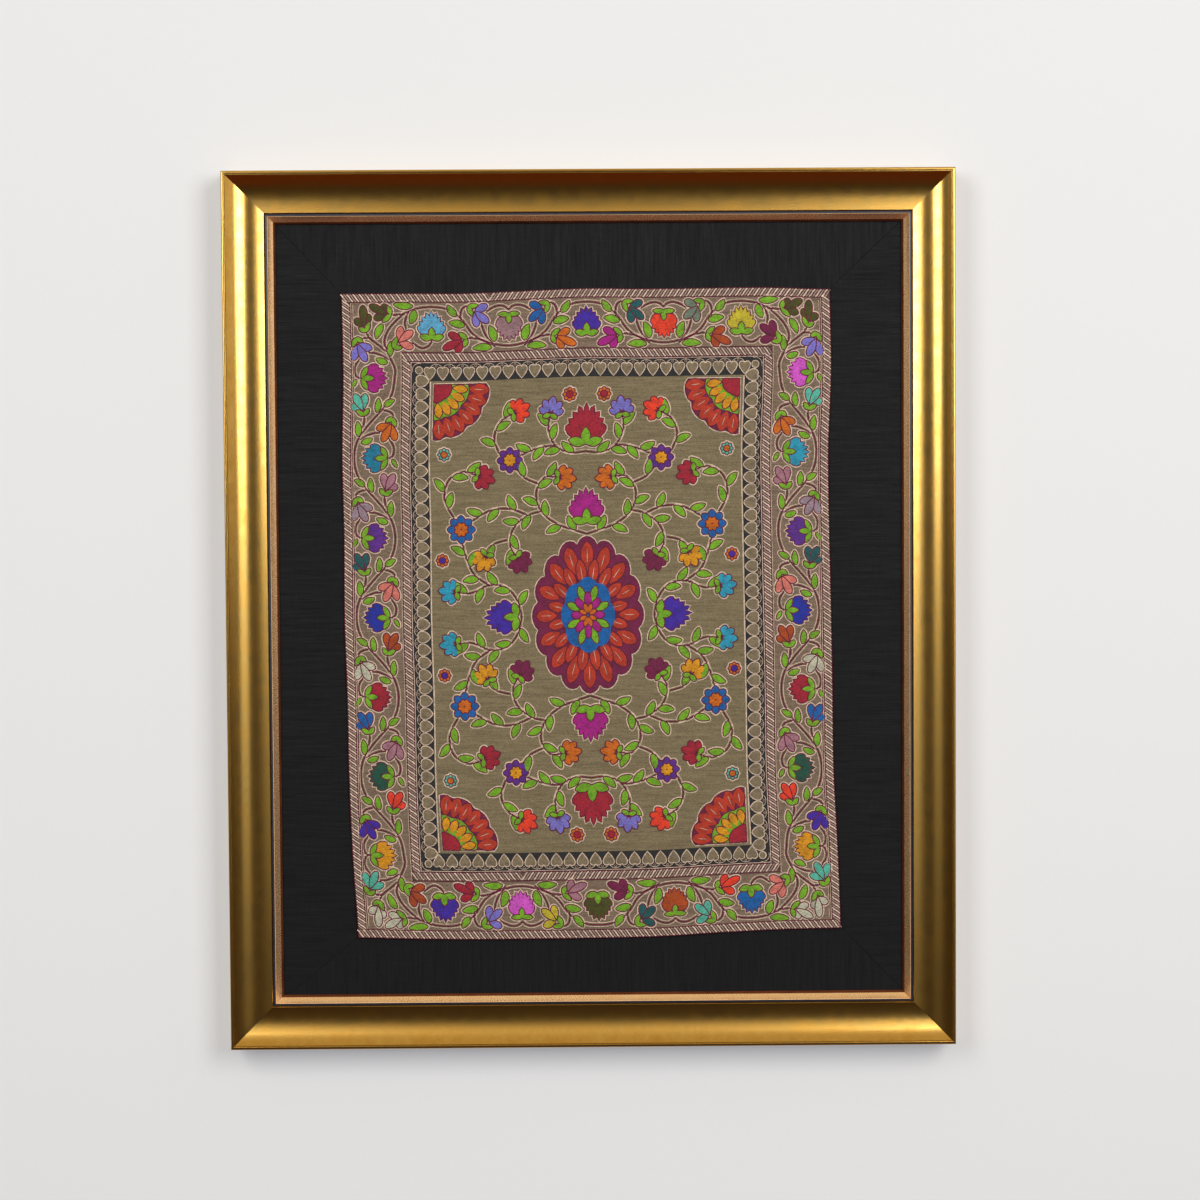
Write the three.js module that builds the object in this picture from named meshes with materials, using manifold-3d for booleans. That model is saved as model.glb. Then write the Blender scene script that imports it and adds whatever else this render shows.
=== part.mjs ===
// Framed silk tapestry: a brocade sheet on black silk, in a gilt scoop frame with an inner slip.
// Millimetres, +X right, +Z up, the front faces -Y and the flat backs of the rails lie in y = 0.
// The origin is where the frame hangs: the middle of the top rail's flat back face.

import * as THREE from 'three';
import { mergeVertices } from 'three/addons/utils/BufferGeometryUtils.js';
import Module from 'manifold-3d';

const wasm = await Module();
wasm.setup();

// Outside of the frame, and the clearance between neighbouring pieces
const FRAME_WIDTH = 508;
const FRAME_HEIGHT = 612;
const CLEARANCE = 0.3;

// Rail section: insets run from the outer edge inwards, heights from the back plane forwards
const RAIL_WIDTH = 29;
const REBATE_INSET = 22;
const REBATE_HEIGHT = 17.5;
const LIP_HEIGHT = 28;
const LIP_WIDTH = 2.2;
const LIP_RADIUS = 1;
const QUIRK_WIDTH = 0.5;
const QUIRK_DROP = 1.1;
const SCOOP_BOTTOM_INSET = 21.4;
const SCOOP_OUTER_RADIUS = 28;
const SCOOP_INNER_RADIUS = 45;
const SIGHT_WIDTH = 0.4;
const SIGHT_DROP = 0.5;

// Stack in the rebate, by height from the back plane
const FILL_INSET = REBATE_INSET + 2 * CLEARANCE;
const CLOTH_FRONT = 12;
const BORDER_THICKNESS = 1.8;
const BOARD_THICKNESS = 3;
const TAPESTRY_THICKNESS = 1.2;
const RELIEF_HEIGHT = 0.6;

// Slip section
const SLIP_FACE_HEIGHT = 18.9;
const SLIP_ARRIS_INSET = 30.9;
const SLIP_SIDE_DROP = 0.3;
const SLIP_BEVEL_INSET = 34.8;
const SLIP_BEVEL_HEIGHT = 15.3;
const SLIP_INSET = 36.1;
const SLIP_EDGE_HEIGHT = 13.1;

// Corners of the tapestry, from the middle of the frame
const TAPESTRY_CORNERS = {
  topLeft: [-172.8, 221.7],
  topRight: [168.1, 223.2],
  bottomLeft: [-165.3, -229.9],
  bottomRight: [174.7, -225.6],
};

// How far each edge strays from the straight line between its corners: top and bottom are
// read from left to right and move up, left and right from top to bottom and move right
const EDGE_STRAY = [
  { at: 0, top: 0, bottom: 0, left: 0, right: 0 },
  { at: 0.125, top: -0.1, bottom: -1.8, left: -0.2, right: 0.1 },
  { at: 0.25, top: -0.5, bottom: -3.0, left: -2.4, right: -2.8 },
  { at: 0.375, top: 0.9, bottom: -3.4, left: -2.6, right: -3.1 },
  { at: 0.5, top: 2.2, bottom: -3.7, left: -3.8, right: -2.8 },
  { at: 0.625, top: 1.5, bottom: -3.4, left: -3.3, right: -2.8 },
  { at: 0.75, top: 1.6, bottom: -1.6, left: -3.6, right: -3.0 },
  { at: 0.875, top: 1.5, bottom: -0.3, left: -2.5, right: -1.1 },
  { at: 1, top: 0, bottom: 0, left: 0, right: 0 },
];

// Woven layout of the tapestry, in the mm of its flat rectangle
const WEAVE_WIDTH = 341;
const WEAVE_HEIGHT = 450;
const EDGE_STEPS = 16;
const WELD_DISTANCE = 1e-4;
const ROPE_BANDS = [
  { name: 'outer rope', from: 0.7, to: 5.7 },
  { name: 'inner rope', from: 41.9, to: 46.9 },
];
const PANEL_INSET = 60.6;
const HEART_LENGTH = 9.2;
const HEART_TIP_INSET = 60.1;
const HEARTS_ACROSS = 25;
const HEARTS_DOWN = 38;
const CORNER_RING_INSET = 53.2;
const CORNER_RING_RADIUS = 2.7;

// Half of a heart, by distance from its tip and from its middle line, as shares of its length
const HEART_HALF = [
  { up: 0, out: 0 },
  { up: 0.36, out: 0.28 },
  { up: 0.68, out: 0.44 },
  { up: 0.92, out: 0.34 },
  { up: 1, out: 0.17 },
  { up: 0.88, out: 0 },
];

// Steps of each arc of a rail section, and of half of a corner ring
const ARC_STEPS = 7;
const RING_STEPS = 4;

// How far the black strips run on under the tapestry
const STRIP_UNDERLAP = 14;

const gilt = new THREE.MeshStandardMaterial({ color: '#a8802c', roughness: 0.32, metalness: 0.95 });
const slipGilt = new THREE.MeshStandardMaterial({ color: '#c49468', roughness: 0.35, metalness: 0.8 });
const blackSilk = new THREE.MeshStandardMaterial({ color: '#17181b', roughness: 0.7, metalness: 0 });
const brocade = new THREE.MeshStandardMaterial({ color: '#82735a', roughness: 0.6, metalness: 0.1 });
const board = new THREE.MeshStandardMaterial({ color: '#8a6f4e', roughness: 0.9, metalness: 0 });

// Section of a rail, with u = inset and v = height
function railSection() {
  const shape = new THREE.Shape();
  const scoopStart = LIP_WIDTH + QUIRK_WIDTH;
  const fall = Math.asin((SCOOP_BOTTOM_INSET - scoopStart) / SCOOP_OUTER_RADIUS);
  const rise = Math.asin((RAIL_WIDTH - SIGHT_WIDTH - SCOOP_BOTTOM_INSET) / SCOOP_INNER_RADIUS);
  const scoopLow = LIP_HEIGHT - QUIRK_DROP - SCOOP_OUTER_RADIUS * (1 - Math.cos(fall));
  const sightHeight = scoopLow + SCOOP_INNER_RADIUS * (1 - Math.cos(rise));
  shape.moveTo(0, 0);
  shape.lineTo(0, LIP_HEIGHT - LIP_RADIUS);
  shape.absarc(LIP_RADIUS, LIP_HEIGHT - LIP_RADIUS, LIP_RADIUS, Math.PI, Math.PI / 2, true);
  shape.lineTo(LIP_WIDTH, LIP_HEIGHT);
  shape.lineTo(LIP_WIDTH, LIP_HEIGHT - QUIRK_DROP);
  shape.absarc(SCOOP_BOTTOM_INSET, scoopLow + SCOOP_OUTER_RADIUS, SCOOP_OUTER_RADIUS,
    -Math.PI / 2 - fall, -Math.PI / 2, false);
  shape.absarc(SCOOP_BOTTOM_INSET, scoopLow + SCOOP_INNER_RADIUS, SCOOP_INNER_RADIUS,
    -Math.PI / 2, -Math.PI / 2 + rise, false);
  shape.lineTo(RAIL_WIDTH, sightHeight - SIGHT_DROP);
  shape.lineTo(RAIL_WIDTH, REBATE_HEIGHT);
  shape.lineTo(REBATE_INSET, REBATE_HEIGHT);
  shape.lineTo(REBATE_INSET, 0);
  return shape;
}

// Section of a slip: a flange under the rail, a face, a rounded arris, a bevel and a steep edge
function slipSection() {
  const back = CLOTH_FRONT + CLEARANCE;
  const flangeTop = REBATE_HEIGHT - CLEARANCE;
  const faceStart = RAIL_WIDTH + CLEARANCE;
  const shape = new THREE.Shape();
  shape.moveTo(REBATE_INSET + CLEARANCE, back);
  shape.lineTo(REBATE_INSET + CLEARANCE, flangeTop);
  shape.lineTo(faceStart, flangeTop);
  shape.lineTo(faceStart, SLIP_FACE_HEIGHT - SLIP_SIDE_DROP);
  shape.quadraticCurveTo(SLIP_ARRIS_INSET, SLIP_FACE_HEIGHT + SLIP_SIDE_DROP,
    SLIP_ARRIS_INSET + CLEARANCE, SLIP_FACE_HEIGHT - SLIP_SIDE_DROP);
  shape.lineTo(SLIP_BEVEL_INSET, SLIP_BEVEL_HEIGHT);
  shape.lineTo(SLIP_INSET, SLIP_EDGE_HEIGHT);
  shape.lineTo(SLIP_INSET, back);
  return shape;
}

// Carries a section along one side of the frame and cuts both ends to 45 degrees:
// at an inset u, each end stands u further in, plus half the clearance between two mitres
function mitredBar(section, length) {
  const options = { depth: length, bevelEnabled: false, curveSegments: ARC_STEPS };
  const bar = new THREE.ExtrudeGeometry(section, options);
  const position = bar.attributes.position;
  const mitreGap = CLEARANCE / Math.SQRT2;
  for (let i = 0; i < position.count; i++) {
    const inset = position.getX(i) + mitreGap;
    position.setZ(i, position.getZ(i) > length / 2 ? length - inset : inset);
  }
  const inwards = new THREE.Vector3(0, 0, -1);
  const forwards = new THREE.Vector3(0, -1, 0);
  const along = new THREE.Vector3(-1, 0, 0);
  bar.applyMatrix4(new THREE.Matrix4().makeBasis(inwards, forwards, along).setPosition(length / 2, 0, 0));
  return bar;
}

// Four mitred bars of one section round the frame
function barsAround(prefix, section, material) {
  const sides = [
    { side: 'top', turn: 0, length: FRAME_WIDTH, out: [0, FRAME_HEIGHT / 2] },
    { side: 'bottom', turn: Math.PI, length: FRAME_WIDTH, out: [0, -FRAME_HEIGHT / 2] },
    { side: 'left', turn: -Math.PI / 2, length: FRAME_HEIGHT, out: [-FRAME_WIDTH / 2, 0] },
    { side: 'right', turn: Math.PI / 2, length: FRAME_HEIGHT, out: [FRAME_WIDTH / 2, 0] },
  ];
  return sides.map(({ side, turn, length, out }) => {
    const mesh = new THREE.Mesh(mitredBar(section, length), material);
    mesh.name = `${prefix}_${side}`;
    mesh.rotation.y = turn;
    mesh.position.set(out[0], 0, out[1]);
    return mesh;
  });
}

// A flat piece cut from an outline in the frame's plane, with its back at a given height
function flatPiece(name, outline, backHeight, thickness, material) {
  const geometry = new THREE.ExtrudeGeometry(outline, { depth: thickness, bevelEnabled: false });
  const mesh = new THREE.Mesh(geometry, material);
  mesh.name = name;
  mesh.rotation.x = Math.PI / 2;
  mesh.position.y = -backHeight;
  return mesh;
}

const strayCurve = (column) => new THREE.SplineCurve(
  EDGE_STRAY.map((row) => new THREE.Vector2(row.at, row[column])));
const stray = {
  top: strayCurve('top'),
  bottom: strayCurve('bottom'),
  left: strayCurve('left'),
  right: strayCurve('right'),
};

// Takes a place on the flat weave, from its lower left corner, to the frame's plane.
// The four corners are blended straight, and each edge's stray fades to the opposite edge.
function place(across, up) {
  const s = across / WEAVE_WIDTH;
  const t = up / WEAVE_HEIGHT;
  const mix = (axis) => {
    const { topLeft, topRight, bottomLeft, bottomRight } = TAPESTRY_CORNERS;
    const upper = THREE.MathUtils.lerp(topLeft[axis], topRight[axis], s);
    const lower = THREE.MathUtils.lerp(bottomLeft[axis], bottomRight[axis], s);
    return THREE.MathUtils.lerp(lower, upper, t);
  };
  const sideways = (1 - s) * stray.left.getPoint(1 - t).y + s * stray.right.getPoint(1 - t).y;
  const upwards = t * stray.top.getPoint(s).y + (1 - t) * stray.bottom.getPoint(s).y;
  return new THREE.Vector2(mix(0) + sideways, mix(1) + upwards);
}

// Points of the ring that lies a fixed inset inside the weave's edge, anticlockwise
function insetRing(inset) {
  const corners = [
    [inset, inset],
    [WEAVE_WIDTH - inset, inset],
    [WEAVE_WIDTH - inset, WEAVE_HEIGHT - inset],
    [inset, WEAVE_HEIGHT - inset],
  ];
  return corners.flatMap((corner, i) => {
    const next = corners[(i + 1) % corners.length];
    return Array.from({ length: EDGE_STEPS }, (_, k) => place(
      THREE.MathUtils.lerp(corner[0], next[0], k / EDGE_STEPS),
      THREE.MathUtils.lerp(corner[1], next[1], k / EDGE_STEPS)));
  });
}

// A closed solid from a flat outline, between two depths measured from the tapestry's back
function slab(outline, from, to) {
  const geometry = new THREE.ExtrudeGeometry(outline, { depth: to - from, bevelEnabled: false });
  geometry.translate(0, 0, from);
  geometry.deleteAttribute('normal');
  geometry.deleteAttribute('uv');
  const welded = mergeVertices(geometry, WELD_DISTANCE);
  return new wasm.Manifold(new wasm.Mesh({
    numProp: 3,
    vertProperties: new Float32Array(welded.attributes.position.array),
    triVerts: new Uint32Array(welded.index.array),
  }));
}

// A heart on one side of the weave: its tip points into the panel
function heartOutline(toWeave, along) {
  const right = HEART_HALF.map(({ up, out }) => [out * HEART_LENGTH, HEART_TIP_INSET - up * HEART_LENGTH]);
  const left = right.slice(1, -1).reverse().map(([out, inset]) => [-out, inset]);
  return new THREE.Shape([...right, ...left].map(([out, inset]) => toWeave(along + out, inset)));
}

// All raised shapes of the tapestry's face, in the plane of the frame
function reliefOutlines() {
  const outlines = ROPE_BANDS.map(({ from, to }) => {
    const band = new THREE.Shape(insetRing(from));
    band.holes.push(new THREE.Path(insetRing(to)));
    return band;
  });
  const sides = [
    { count: HEARTS_ACROSS, length: WEAVE_WIDTH, toWeave: (a, inset) => place(a, WEAVE_HEIGHT - inset) },
    { count: HEARTS_ACROSS, length: WEAVE_WIDTH, toWeave: (a, inset) => place(a, inset) },
    { count: HEARTS_DOWN, length: WEAVE_HEIGHT, toWeave: (a, inset) => place(inset, a) },
    { count: HEARTS_DOWN, length: WEAVE_HEIGHT, toWeave: (a, inset) => place(WEAVE_WIDTH - inset, a) },
  ];
  for (const { count, length, toWeave } of sides) {
    const pitch = (length - 2 * PANEL_INSET) / (count - 1);
    for (let i = 0; i < count; i++) outlines.push(heartOutline(toWeave, PANEL_INSET + i * pitch));
  }
  for (const a of [CORNER_RING_INSET, WEAVE_WIDTH - CORNER_RING_INSET]) {
    for (const b of [CORNER_RING_INSET, WEAVE_HEIGHT - CORNER_RING_INSET]) {
      const centre = place(a, b);
      const disc = new THREE.Shape();
      disc.absarc(centre.x, centre.y, CORNER_RING_RADIUS, 0, 2 * Math.PI, false);
      outlines.push(new THREE.Shape(disc.getPoints(RING_STEPS)));
    }
  }
  return outlines;
}

// The tapestry: one sheet with its uneven outline, the rope bands and hearts a little proud
function tapestryMesh() {
  let cloth = slab(new THREE.Shape(insetRing(0)), 0, TAPESTRY_THICKNESS);
  for (const outline of reliefOutlines()) {
    cloth = cloth.add(slab(outline, TAPESTRY_THICKNESS / 2, TAPESTRY_THICKNESS + RELIEF_HEIGHT));
  }
  const { vertProperties, triVerts } = cloth.getMesh();
  const geometry = new THREE.BufferGeometry();
  geometry.setAttribute('position', new THREE.BufferAttribute(new Float32Array(vertProperties), 3));
  geometry.setIndex(new THREE.BufferAttribute(new Uint32Array(triVerts), 1));
  geometry.computeVertexNormals();
  const mesh = new THREE.Mesh(geometry, brocade);
  mesh.name = 'tapestry';
  mesh.rotation.x = Math.PI / 2;
  mesh.position.y = -(CLOTH_FRONT + CLEARANCE);
  return mesh;
}

// The four black strips: each runs from the rebate to under the tapestry, and its mitred ends
// follow the line from the frame's corner to the tapestry's corner
function borderStrips() {
  const halfWidth = FRAME_WIDTH / 2 - FILL_INSET;
  const halfHeight = FRAME_HEIGHT / 2 - FILL_INSET;
  const outer = {
    topLeft: new THREE.Vector2(-halfWidth, halfHeight),
    topRight: new THREE.Vector2(halfWidth, halfHeight),
    bottomLeft: new THREE.Vector2(-halfWidth, -halfHeight),
    bottomRight: new THREE.Vector2(halfWidth, -halfHeight),
  };
  const seams = {};
  for (const [corner, start] of Object.entries(outer)) {
    const end = new THREE.Vector2(...TAPESTRY_CORNERS[corner]);
    const run = end.clone().sub(start);
    end.add(run.clone().setLength(STRIP_UNDERLAP * Math.SQRT2));
    seams[corner] = { start, end, run: run.normalize() };
  }
  const sides = [
    { side: 'top', corners: ['topRight', 'topLeft'] },
    { side: 'left', corners: ['topLeft', 'bottomLeft'] },
    { side: 'bottom', corners: ['bottomLeft', 'bottomRight'] },
    { side: 'right', corners: ['bottomRight', 'topRight'] },
  ];
  return sides.map(({ side, corners }) => {
    const [first, second] = corners.map((corner) => seams[corner]);
    // each seam is stepped back by half the clearance, away from the neighbouring strip
    const stepBack = (seam, sign) => new THREE.Vector2(-seam.run.y, seam.run.x)
      .multiplyScalar(sign * CLEARANCE / 2);
    const points = [
      first.start.clone().add(stepBack(first, -1)),
      second.start.clone().add(stepBack(second, 1)),
      second.end.clone().add(stepBack(second, 1)),
      first.end.clone().add(stepBack(first, -1)),
    ];
    const back = CLOTH_FRONT - BORDER_THICKNESS;
    return flatPiece(`border_${side}`, new THREE.Shape(points), back, BORDER_THICKNESS, blackSilk);
  });
}

// The plain board behind the strips
function backingBoard() {
  const width = FRAME_WIDTH - 2 * FILL_INSET;
  const height = FRAME_HEIGHT - 2 * FILL_INSET;
  const mesh = new THREE.Mesh(new THREE.BoxGeometry(width, BOARD_THICKNESS, height), board);
  mesh.name = 'backing_board';
  mesh.position.y = -(CLOTH_FRONT - BORDER_THICKNESS - CLEARANCE - BOARD_THICKNESS / 2);
  return mesh;
}

const framedTapestry = new THREE.Group();
framedTapestry.name = 'framed_tapestry';
framedTapestry.add(...barsAround('rail', railSection(), gilt));
framedTapestry.add(...barsAround('slip', slipSection(), slipGilt));
framedTapestry.add(...borderStrips(), tapestryMesh(), backingBoard());
framedTapestry.position.z = -(FRAME_HEIGHT / 2 - REBATE_INSET / 2);

export default framedTapestry;
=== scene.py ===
"""Looks of a framed silk tapestry: gilt scoop rails, a slip, black silk strips and a brocade.

Lengths are in millimetres. An inset runs inwards from an outer edge and a height runs forwards
from the flat back plane; MM turns both into the frame's metres when a mesh is made. The front
faces -Y and +Z is up.
"""

import logging
import math
from dataclasses import dataclass, field
from enum import Enum
from typing import Iterable, Sequence

import bpy
import numpy as np
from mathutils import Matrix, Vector
from mathutils.geometry import tessellate_polygon

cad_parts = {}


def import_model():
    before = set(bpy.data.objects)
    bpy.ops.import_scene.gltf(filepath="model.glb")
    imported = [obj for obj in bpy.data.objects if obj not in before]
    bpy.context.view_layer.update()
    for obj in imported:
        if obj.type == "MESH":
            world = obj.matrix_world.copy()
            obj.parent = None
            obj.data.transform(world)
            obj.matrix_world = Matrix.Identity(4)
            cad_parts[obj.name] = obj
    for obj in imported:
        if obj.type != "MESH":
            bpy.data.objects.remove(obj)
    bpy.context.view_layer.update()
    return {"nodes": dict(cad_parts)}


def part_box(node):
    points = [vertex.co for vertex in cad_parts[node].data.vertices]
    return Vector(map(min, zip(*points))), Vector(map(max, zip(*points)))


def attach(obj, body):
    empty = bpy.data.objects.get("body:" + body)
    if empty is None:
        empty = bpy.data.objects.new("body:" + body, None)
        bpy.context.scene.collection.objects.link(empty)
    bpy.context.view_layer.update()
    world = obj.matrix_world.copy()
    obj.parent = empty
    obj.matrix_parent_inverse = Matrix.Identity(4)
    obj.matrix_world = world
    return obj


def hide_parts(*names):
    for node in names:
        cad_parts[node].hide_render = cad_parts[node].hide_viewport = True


Array = np.ndarray
Point = tuple[float, float]
Colour = tuple[float, float, float]

MM = 0.001
BODY = "root"

log = logging.getLogger("tapestry")


# Curves and surfaces


def smooth_curve(knots: Array, steps: int, closed: bool = False) -> Array:
    """Draw a smooth curve through knots.

    Each span is the cubic whose slope at a knot is half the step from the knot before it to the
    knot after it; an open curve repeats its end knots.

    Args:
        knots: points to pass through, one a row.
        steps: steps in each span.
        closed: whether the last knot leads back to the first.

    Returns:
        The points of the curve, one a row.
    """
    knots = np.asarray(knots, float)
    if closed:
        before, start, end, after = (np.roll(knots, shift, axis=0) for shift in (1, 0, -1, -2))
    else:
        run = np.vstack([knots[:1], knots, knots[-1:]])
        before, start, end, after = run[:-3], run[1:-2], run[2:-1], run[3:]
    t = (np.arange(steps) / steps)[:, None, None]
    curve = 0.5 * (
        2 * start
        + (end - before) * t
        + (2 * before - 5 * start + 4 * end - after) * t**2
        + (3 * start - before - 3 * end + after) * t**3
    )
    points = curve.transpose(1, 0, 2).reshape(-1, knots.shape[1])
    return points if closed else np.vstack([points, knots[-1:]])


def even_steps(path: Array, step: float) -> Array:
    """Space a polyline's points evenly, by reading it at equal lengths of about one step.

    Args:
        path: the polyline's points, one a row.
        step: the wanted length between points.

    Returns:
        The new points, from end to end.
    """
    lengths = np.concatenate([[0.0], np.cumsum(np.linalg.norm(np.diff(path, axis=0), axis=1))])
    wanted = np.linspace(0.0, lengths[-1], max(int(round(lengths[-1] / step)), 2) + 1)
    return np.stack([np.interp(wanted, lengths, column) for column in path.T], axis=1)


def left_of(path: Array, closed: bool = False) -> Array:
    """Give the unit step to the left of a flat path at each point.

    The direction at a point is the step from its previous to its next neighbour, and the left
    is that direction turned a quarter.

    Args:
        path: the path's points, one a row.
        closed: whether the last point leads back to the first.

    Returns:
        The steps, one a row.
    """
    if closed:
        ahead = np.roll(path, -1, axis=0) - np.roll(path, 1, axis=0)
    else:
        ahead = np.gradient(path, axis=0)
    ahead = ahead / np.maximum(np.linalg.norm(ahead, axis=1, keepdims=True), 1e-9)
    return np.stack([-ahead[:, 1], ahead[:, 0]], axis=1)


def anticlockwise(outline: Array) -> Array:
    """Turn an outline round if its signed area, half the sum of its cross products, is negative.

    Args:
        outline: a closed flat outline.

    Returns:
        The outline, anticlockwise.
    """
    ahead = np.roll(outline, -1, axis=0)
    area = np.sum(outline[:, 0] * ahead[:, 1] - outline[:, 1] * ahead[:, 0])
    return outline if area > 0 else outline[::-1]


def volume(points: Array, triangles: Array) -> float:
    """Give a closed mesh's signed volume: a sixth of the sum of its corners' triple products.

    Args:
        points: the mesh's points.
        triangles: its faces, as rows of three point numbers.

    Returns:
        The volume, above zero where the faces look outwards.
    """
    a, b, c = (points[triangles[:, k]] for k in range(3))
    return float(np.einsum("ij,ij->i", a, np.cross(b, c)).sum() / 6)


@dataclass
class Shell:
    """Points and faces of one piece, gathered until they become a mesh."""

    points: list[Array] = field(default_factory=list)
    quads: list[Array] = field(default_factory=list)
    triangles: list[Array] = field(default_factory=list)
    count: int = 0

    def _gather(self, points: Array, quads: Array, triangles: Array) -> None:
        """Add a closed solid and turn its faces outwards where its signed volume is negative.

        Args:
            points: its points.
            quads: its four-sided faces.
            triangles: its three-sided faces.
        """
        halves = np.concatenate([quads[:, [0, 1, 2]], quads[:, [0, 2, 3]], triangles])
        if volume(points - points.mean(axis=0), halves) < 0:
            quads, triangles = quads[:, ::-1], triangles[:, ::-1]
        self.points.append(points)
        self.quads.append(quads + self.count)
        self.triangles.append(triangles + self.count)
        self.count += len(points)

    def loft(self, rings: Array) -> None:
        """Join rings of points into a closed solid with a pole at the middle of each end ring.

        Args:
            rings: points by ring, by place round the ring, by axis.
        """
        rows, columns, _ = rings.shape
        index = np.arange(rows * columns).reshape(rows, columns)
        beside = np.roll(index, -1, axis=1)
        quads = np.stack([index[:-1], beside[:-1], beside[1:], index[1:]], axis=-1).reshape(-1, 4)
        first = np.full(columns, rows * columns)
        starts = np.stack([first, beside[0], index[0]], axis=-1)
        ends = np.stack([first + 1, index[-1], beside[-1]], axis=-1)
        poles = np.stack([rings[0].mean(axis=0), rings[-1].mean(axis=0)])
        points = np.vstack([rings.reshape(-1, 3), poles])
        self._gather(points, quads, np.vstack([starts, ends]))

    def hoop(self, rings: Array) -> None:
        """Join rings of points into a closed hoop, whose last ring leads back to its first.

        Args:
            rings: points by ring, by place round the ring, by axis.
        """
        rows, columns, _ = rings.shape
        index = np.arange(rows * columns).reshape(rows, columns)
        ahead, beside = np.roll(index, -1, axis=0), np.roll(index, -1, axis=1)
        corner = np.roll(ahead, -1, axis=1)
        quads = np.stack([index, beside, corner, ahead], axis=-1).reshape(-1, 4)
        self._gather(rings.reshape(-1, 3), quads, np.empty((0, 3), int))

    def sheet(self, front: Array, back: Array) -> None:
        """Join a front and a back grid into a closed sheet, with a wall round their edge.

        Args:
            front: points by row, by column, by axis.
            back: points of the other face, in the same layout.
        """
        rows, columns, _ = front.shape
        index = np.arange(rows * columns).reshape(rows, columns)
        near, far = index[:-1, :-1], index[1:, 1:]
        face = np.stack([near, index[:-1, 1:], far, index[1:, :-1]], axis=-1).reshape(-1, 4)
        rim = np.concatenate([index[0], index[1:, -1], index[-1, -2::-1], index[-2:0:-1, 0]])
        after = np.roll(rim, -1)
        lift = rows * columns
        wall = np.stack([rim, rim + lift, after + lift, after], axis=-1)
        quads = np.concatenate([face, face[:, ::-1] + lift, wall])
        points = np.vstack([front.reshape(-1, 3), back.reshape(-1, 3)])
        self._gather(points, quads, np.empty((0, 3), int))

    def bar(self, rings: Array, outline: Array) -> None:
        """Join rings into a closed bar whose ends are filled with the outline's own triangles.

        Args:
            rings: points by ring, by place round the ring, by axis.
            outline: the flat outline that each ring follows, in the same order.
        """
        rows, columns, _ = rings.shape
        index = np.arange(rows * columns).reshape(rows, columns)
        beside = np.roll(index, -1, axis=1)
        quads = np.stack([index[:-1], beside[:-1], beside[1:], index[1:]], axis=-1).reshape(-1, 4)
        flat = anticlockwise(outline)
        order = np.arange(columns) if np.array_equal(flat, outline) else np.arange(columns)[::-1]
        filled = tessellate_polygon([[Vector((*point, 0.0)) for point in flat]])
        cap = order[np.array(filled)]
        a, b, c = (flat[np.array(filled)[:, k]] for k in range(3))
        turn = (b[:, 0] - a[:, 0]) * (c[:, 1] - a[:, 1]) - (b[:, 1] - a[:, 1]) * (c[:, 0] - a[:, 0])
        cap = np.where(turn[:, None] > 0, cap, cap[:, ::-1])
        if order[0] != 0:
            cap = cap[:, ::-1]
        ends = np.vstack([cap[:, ::-1], cap + (rows - 1) * columns])
        self._gather(rings.reshape(-1, 3), quads, ends)

    def piece(self, name: str, finishes: Sequence["Finish"], part: Array | None = None,
              flat: Array | None = None, sharp: float | None = None) -> bpy.types.Object:
        """Make the gathered shapes one object that rides on the frame.

        Args:
            name: the piece's name.
            finishes: one finish, or several that faces choose from.
            part: which finish each face takes, quads first; all take the first without it.
            flat: a place on the flat cloth for each point, kept as the UV map "flat".
            sharp: edges that bend by more degrees than this are shaded as sharp.

        Returns:
            The new object, its points in metres in the frame.
        """
        points = np.vstack(self.points) * MM
        quads, triangles = np.vstack(self.quads), np.vstack(self.triangles)
        mesh = bpy.data.meshes.new(name)
        mesh.from_pydata(points.tolist(), [], quads.tolist() + triangles.tolist())
        mesh.polygons.foreach_set("use_smooth", np.ones(len(mesh.polygons), bool))
        if part is not None:
            mesh.polygons.foreach_set("material_index", part.astype(np.int32))
        if sharp is not None:
            mesh.set_sharp_from_angle(angle=math.radians(sharp))
        if flat is not None:
            corners = np.empty(len(mesh.loops), np.int32)
            mesh.loops.foreach_get("vertex_index", corners)
            layer = mesh.uv_layers.new(name="flat")
            layer.data.foreach_set("uv", (flat[corners] * MM).astype(np.float32).ravel())
        for finish in finishes:
            mesh.materials.append(finish.material())
        mesh.validate()
        thing = bpy.data.objects.new(name, mesh)
        bpy.context.scene.collection.objects.link(thing)
        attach(thing, BODY)
        log.info("%s: %d faces", name, len(mesh.polygons))
        return thing


# Finishes


def linear(red: float, green: float, blue: float) -> tuple[float, float, float, float]:
    """Turn a screen colour from 0 to 255 into light: a power of 2.4 above the dark end."""
    shares = np.array([red, green, blue], float) / 255
    light = np.where(shares <= 0.04045, shares / 12.92, ((shares + 0.055) / 1.055) ** 2.4)
    return (*light.tolist(), 1.0)


# The wave node's scale at which one band is one unit wide

RIB_SCALE = math.pi / 10


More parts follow.
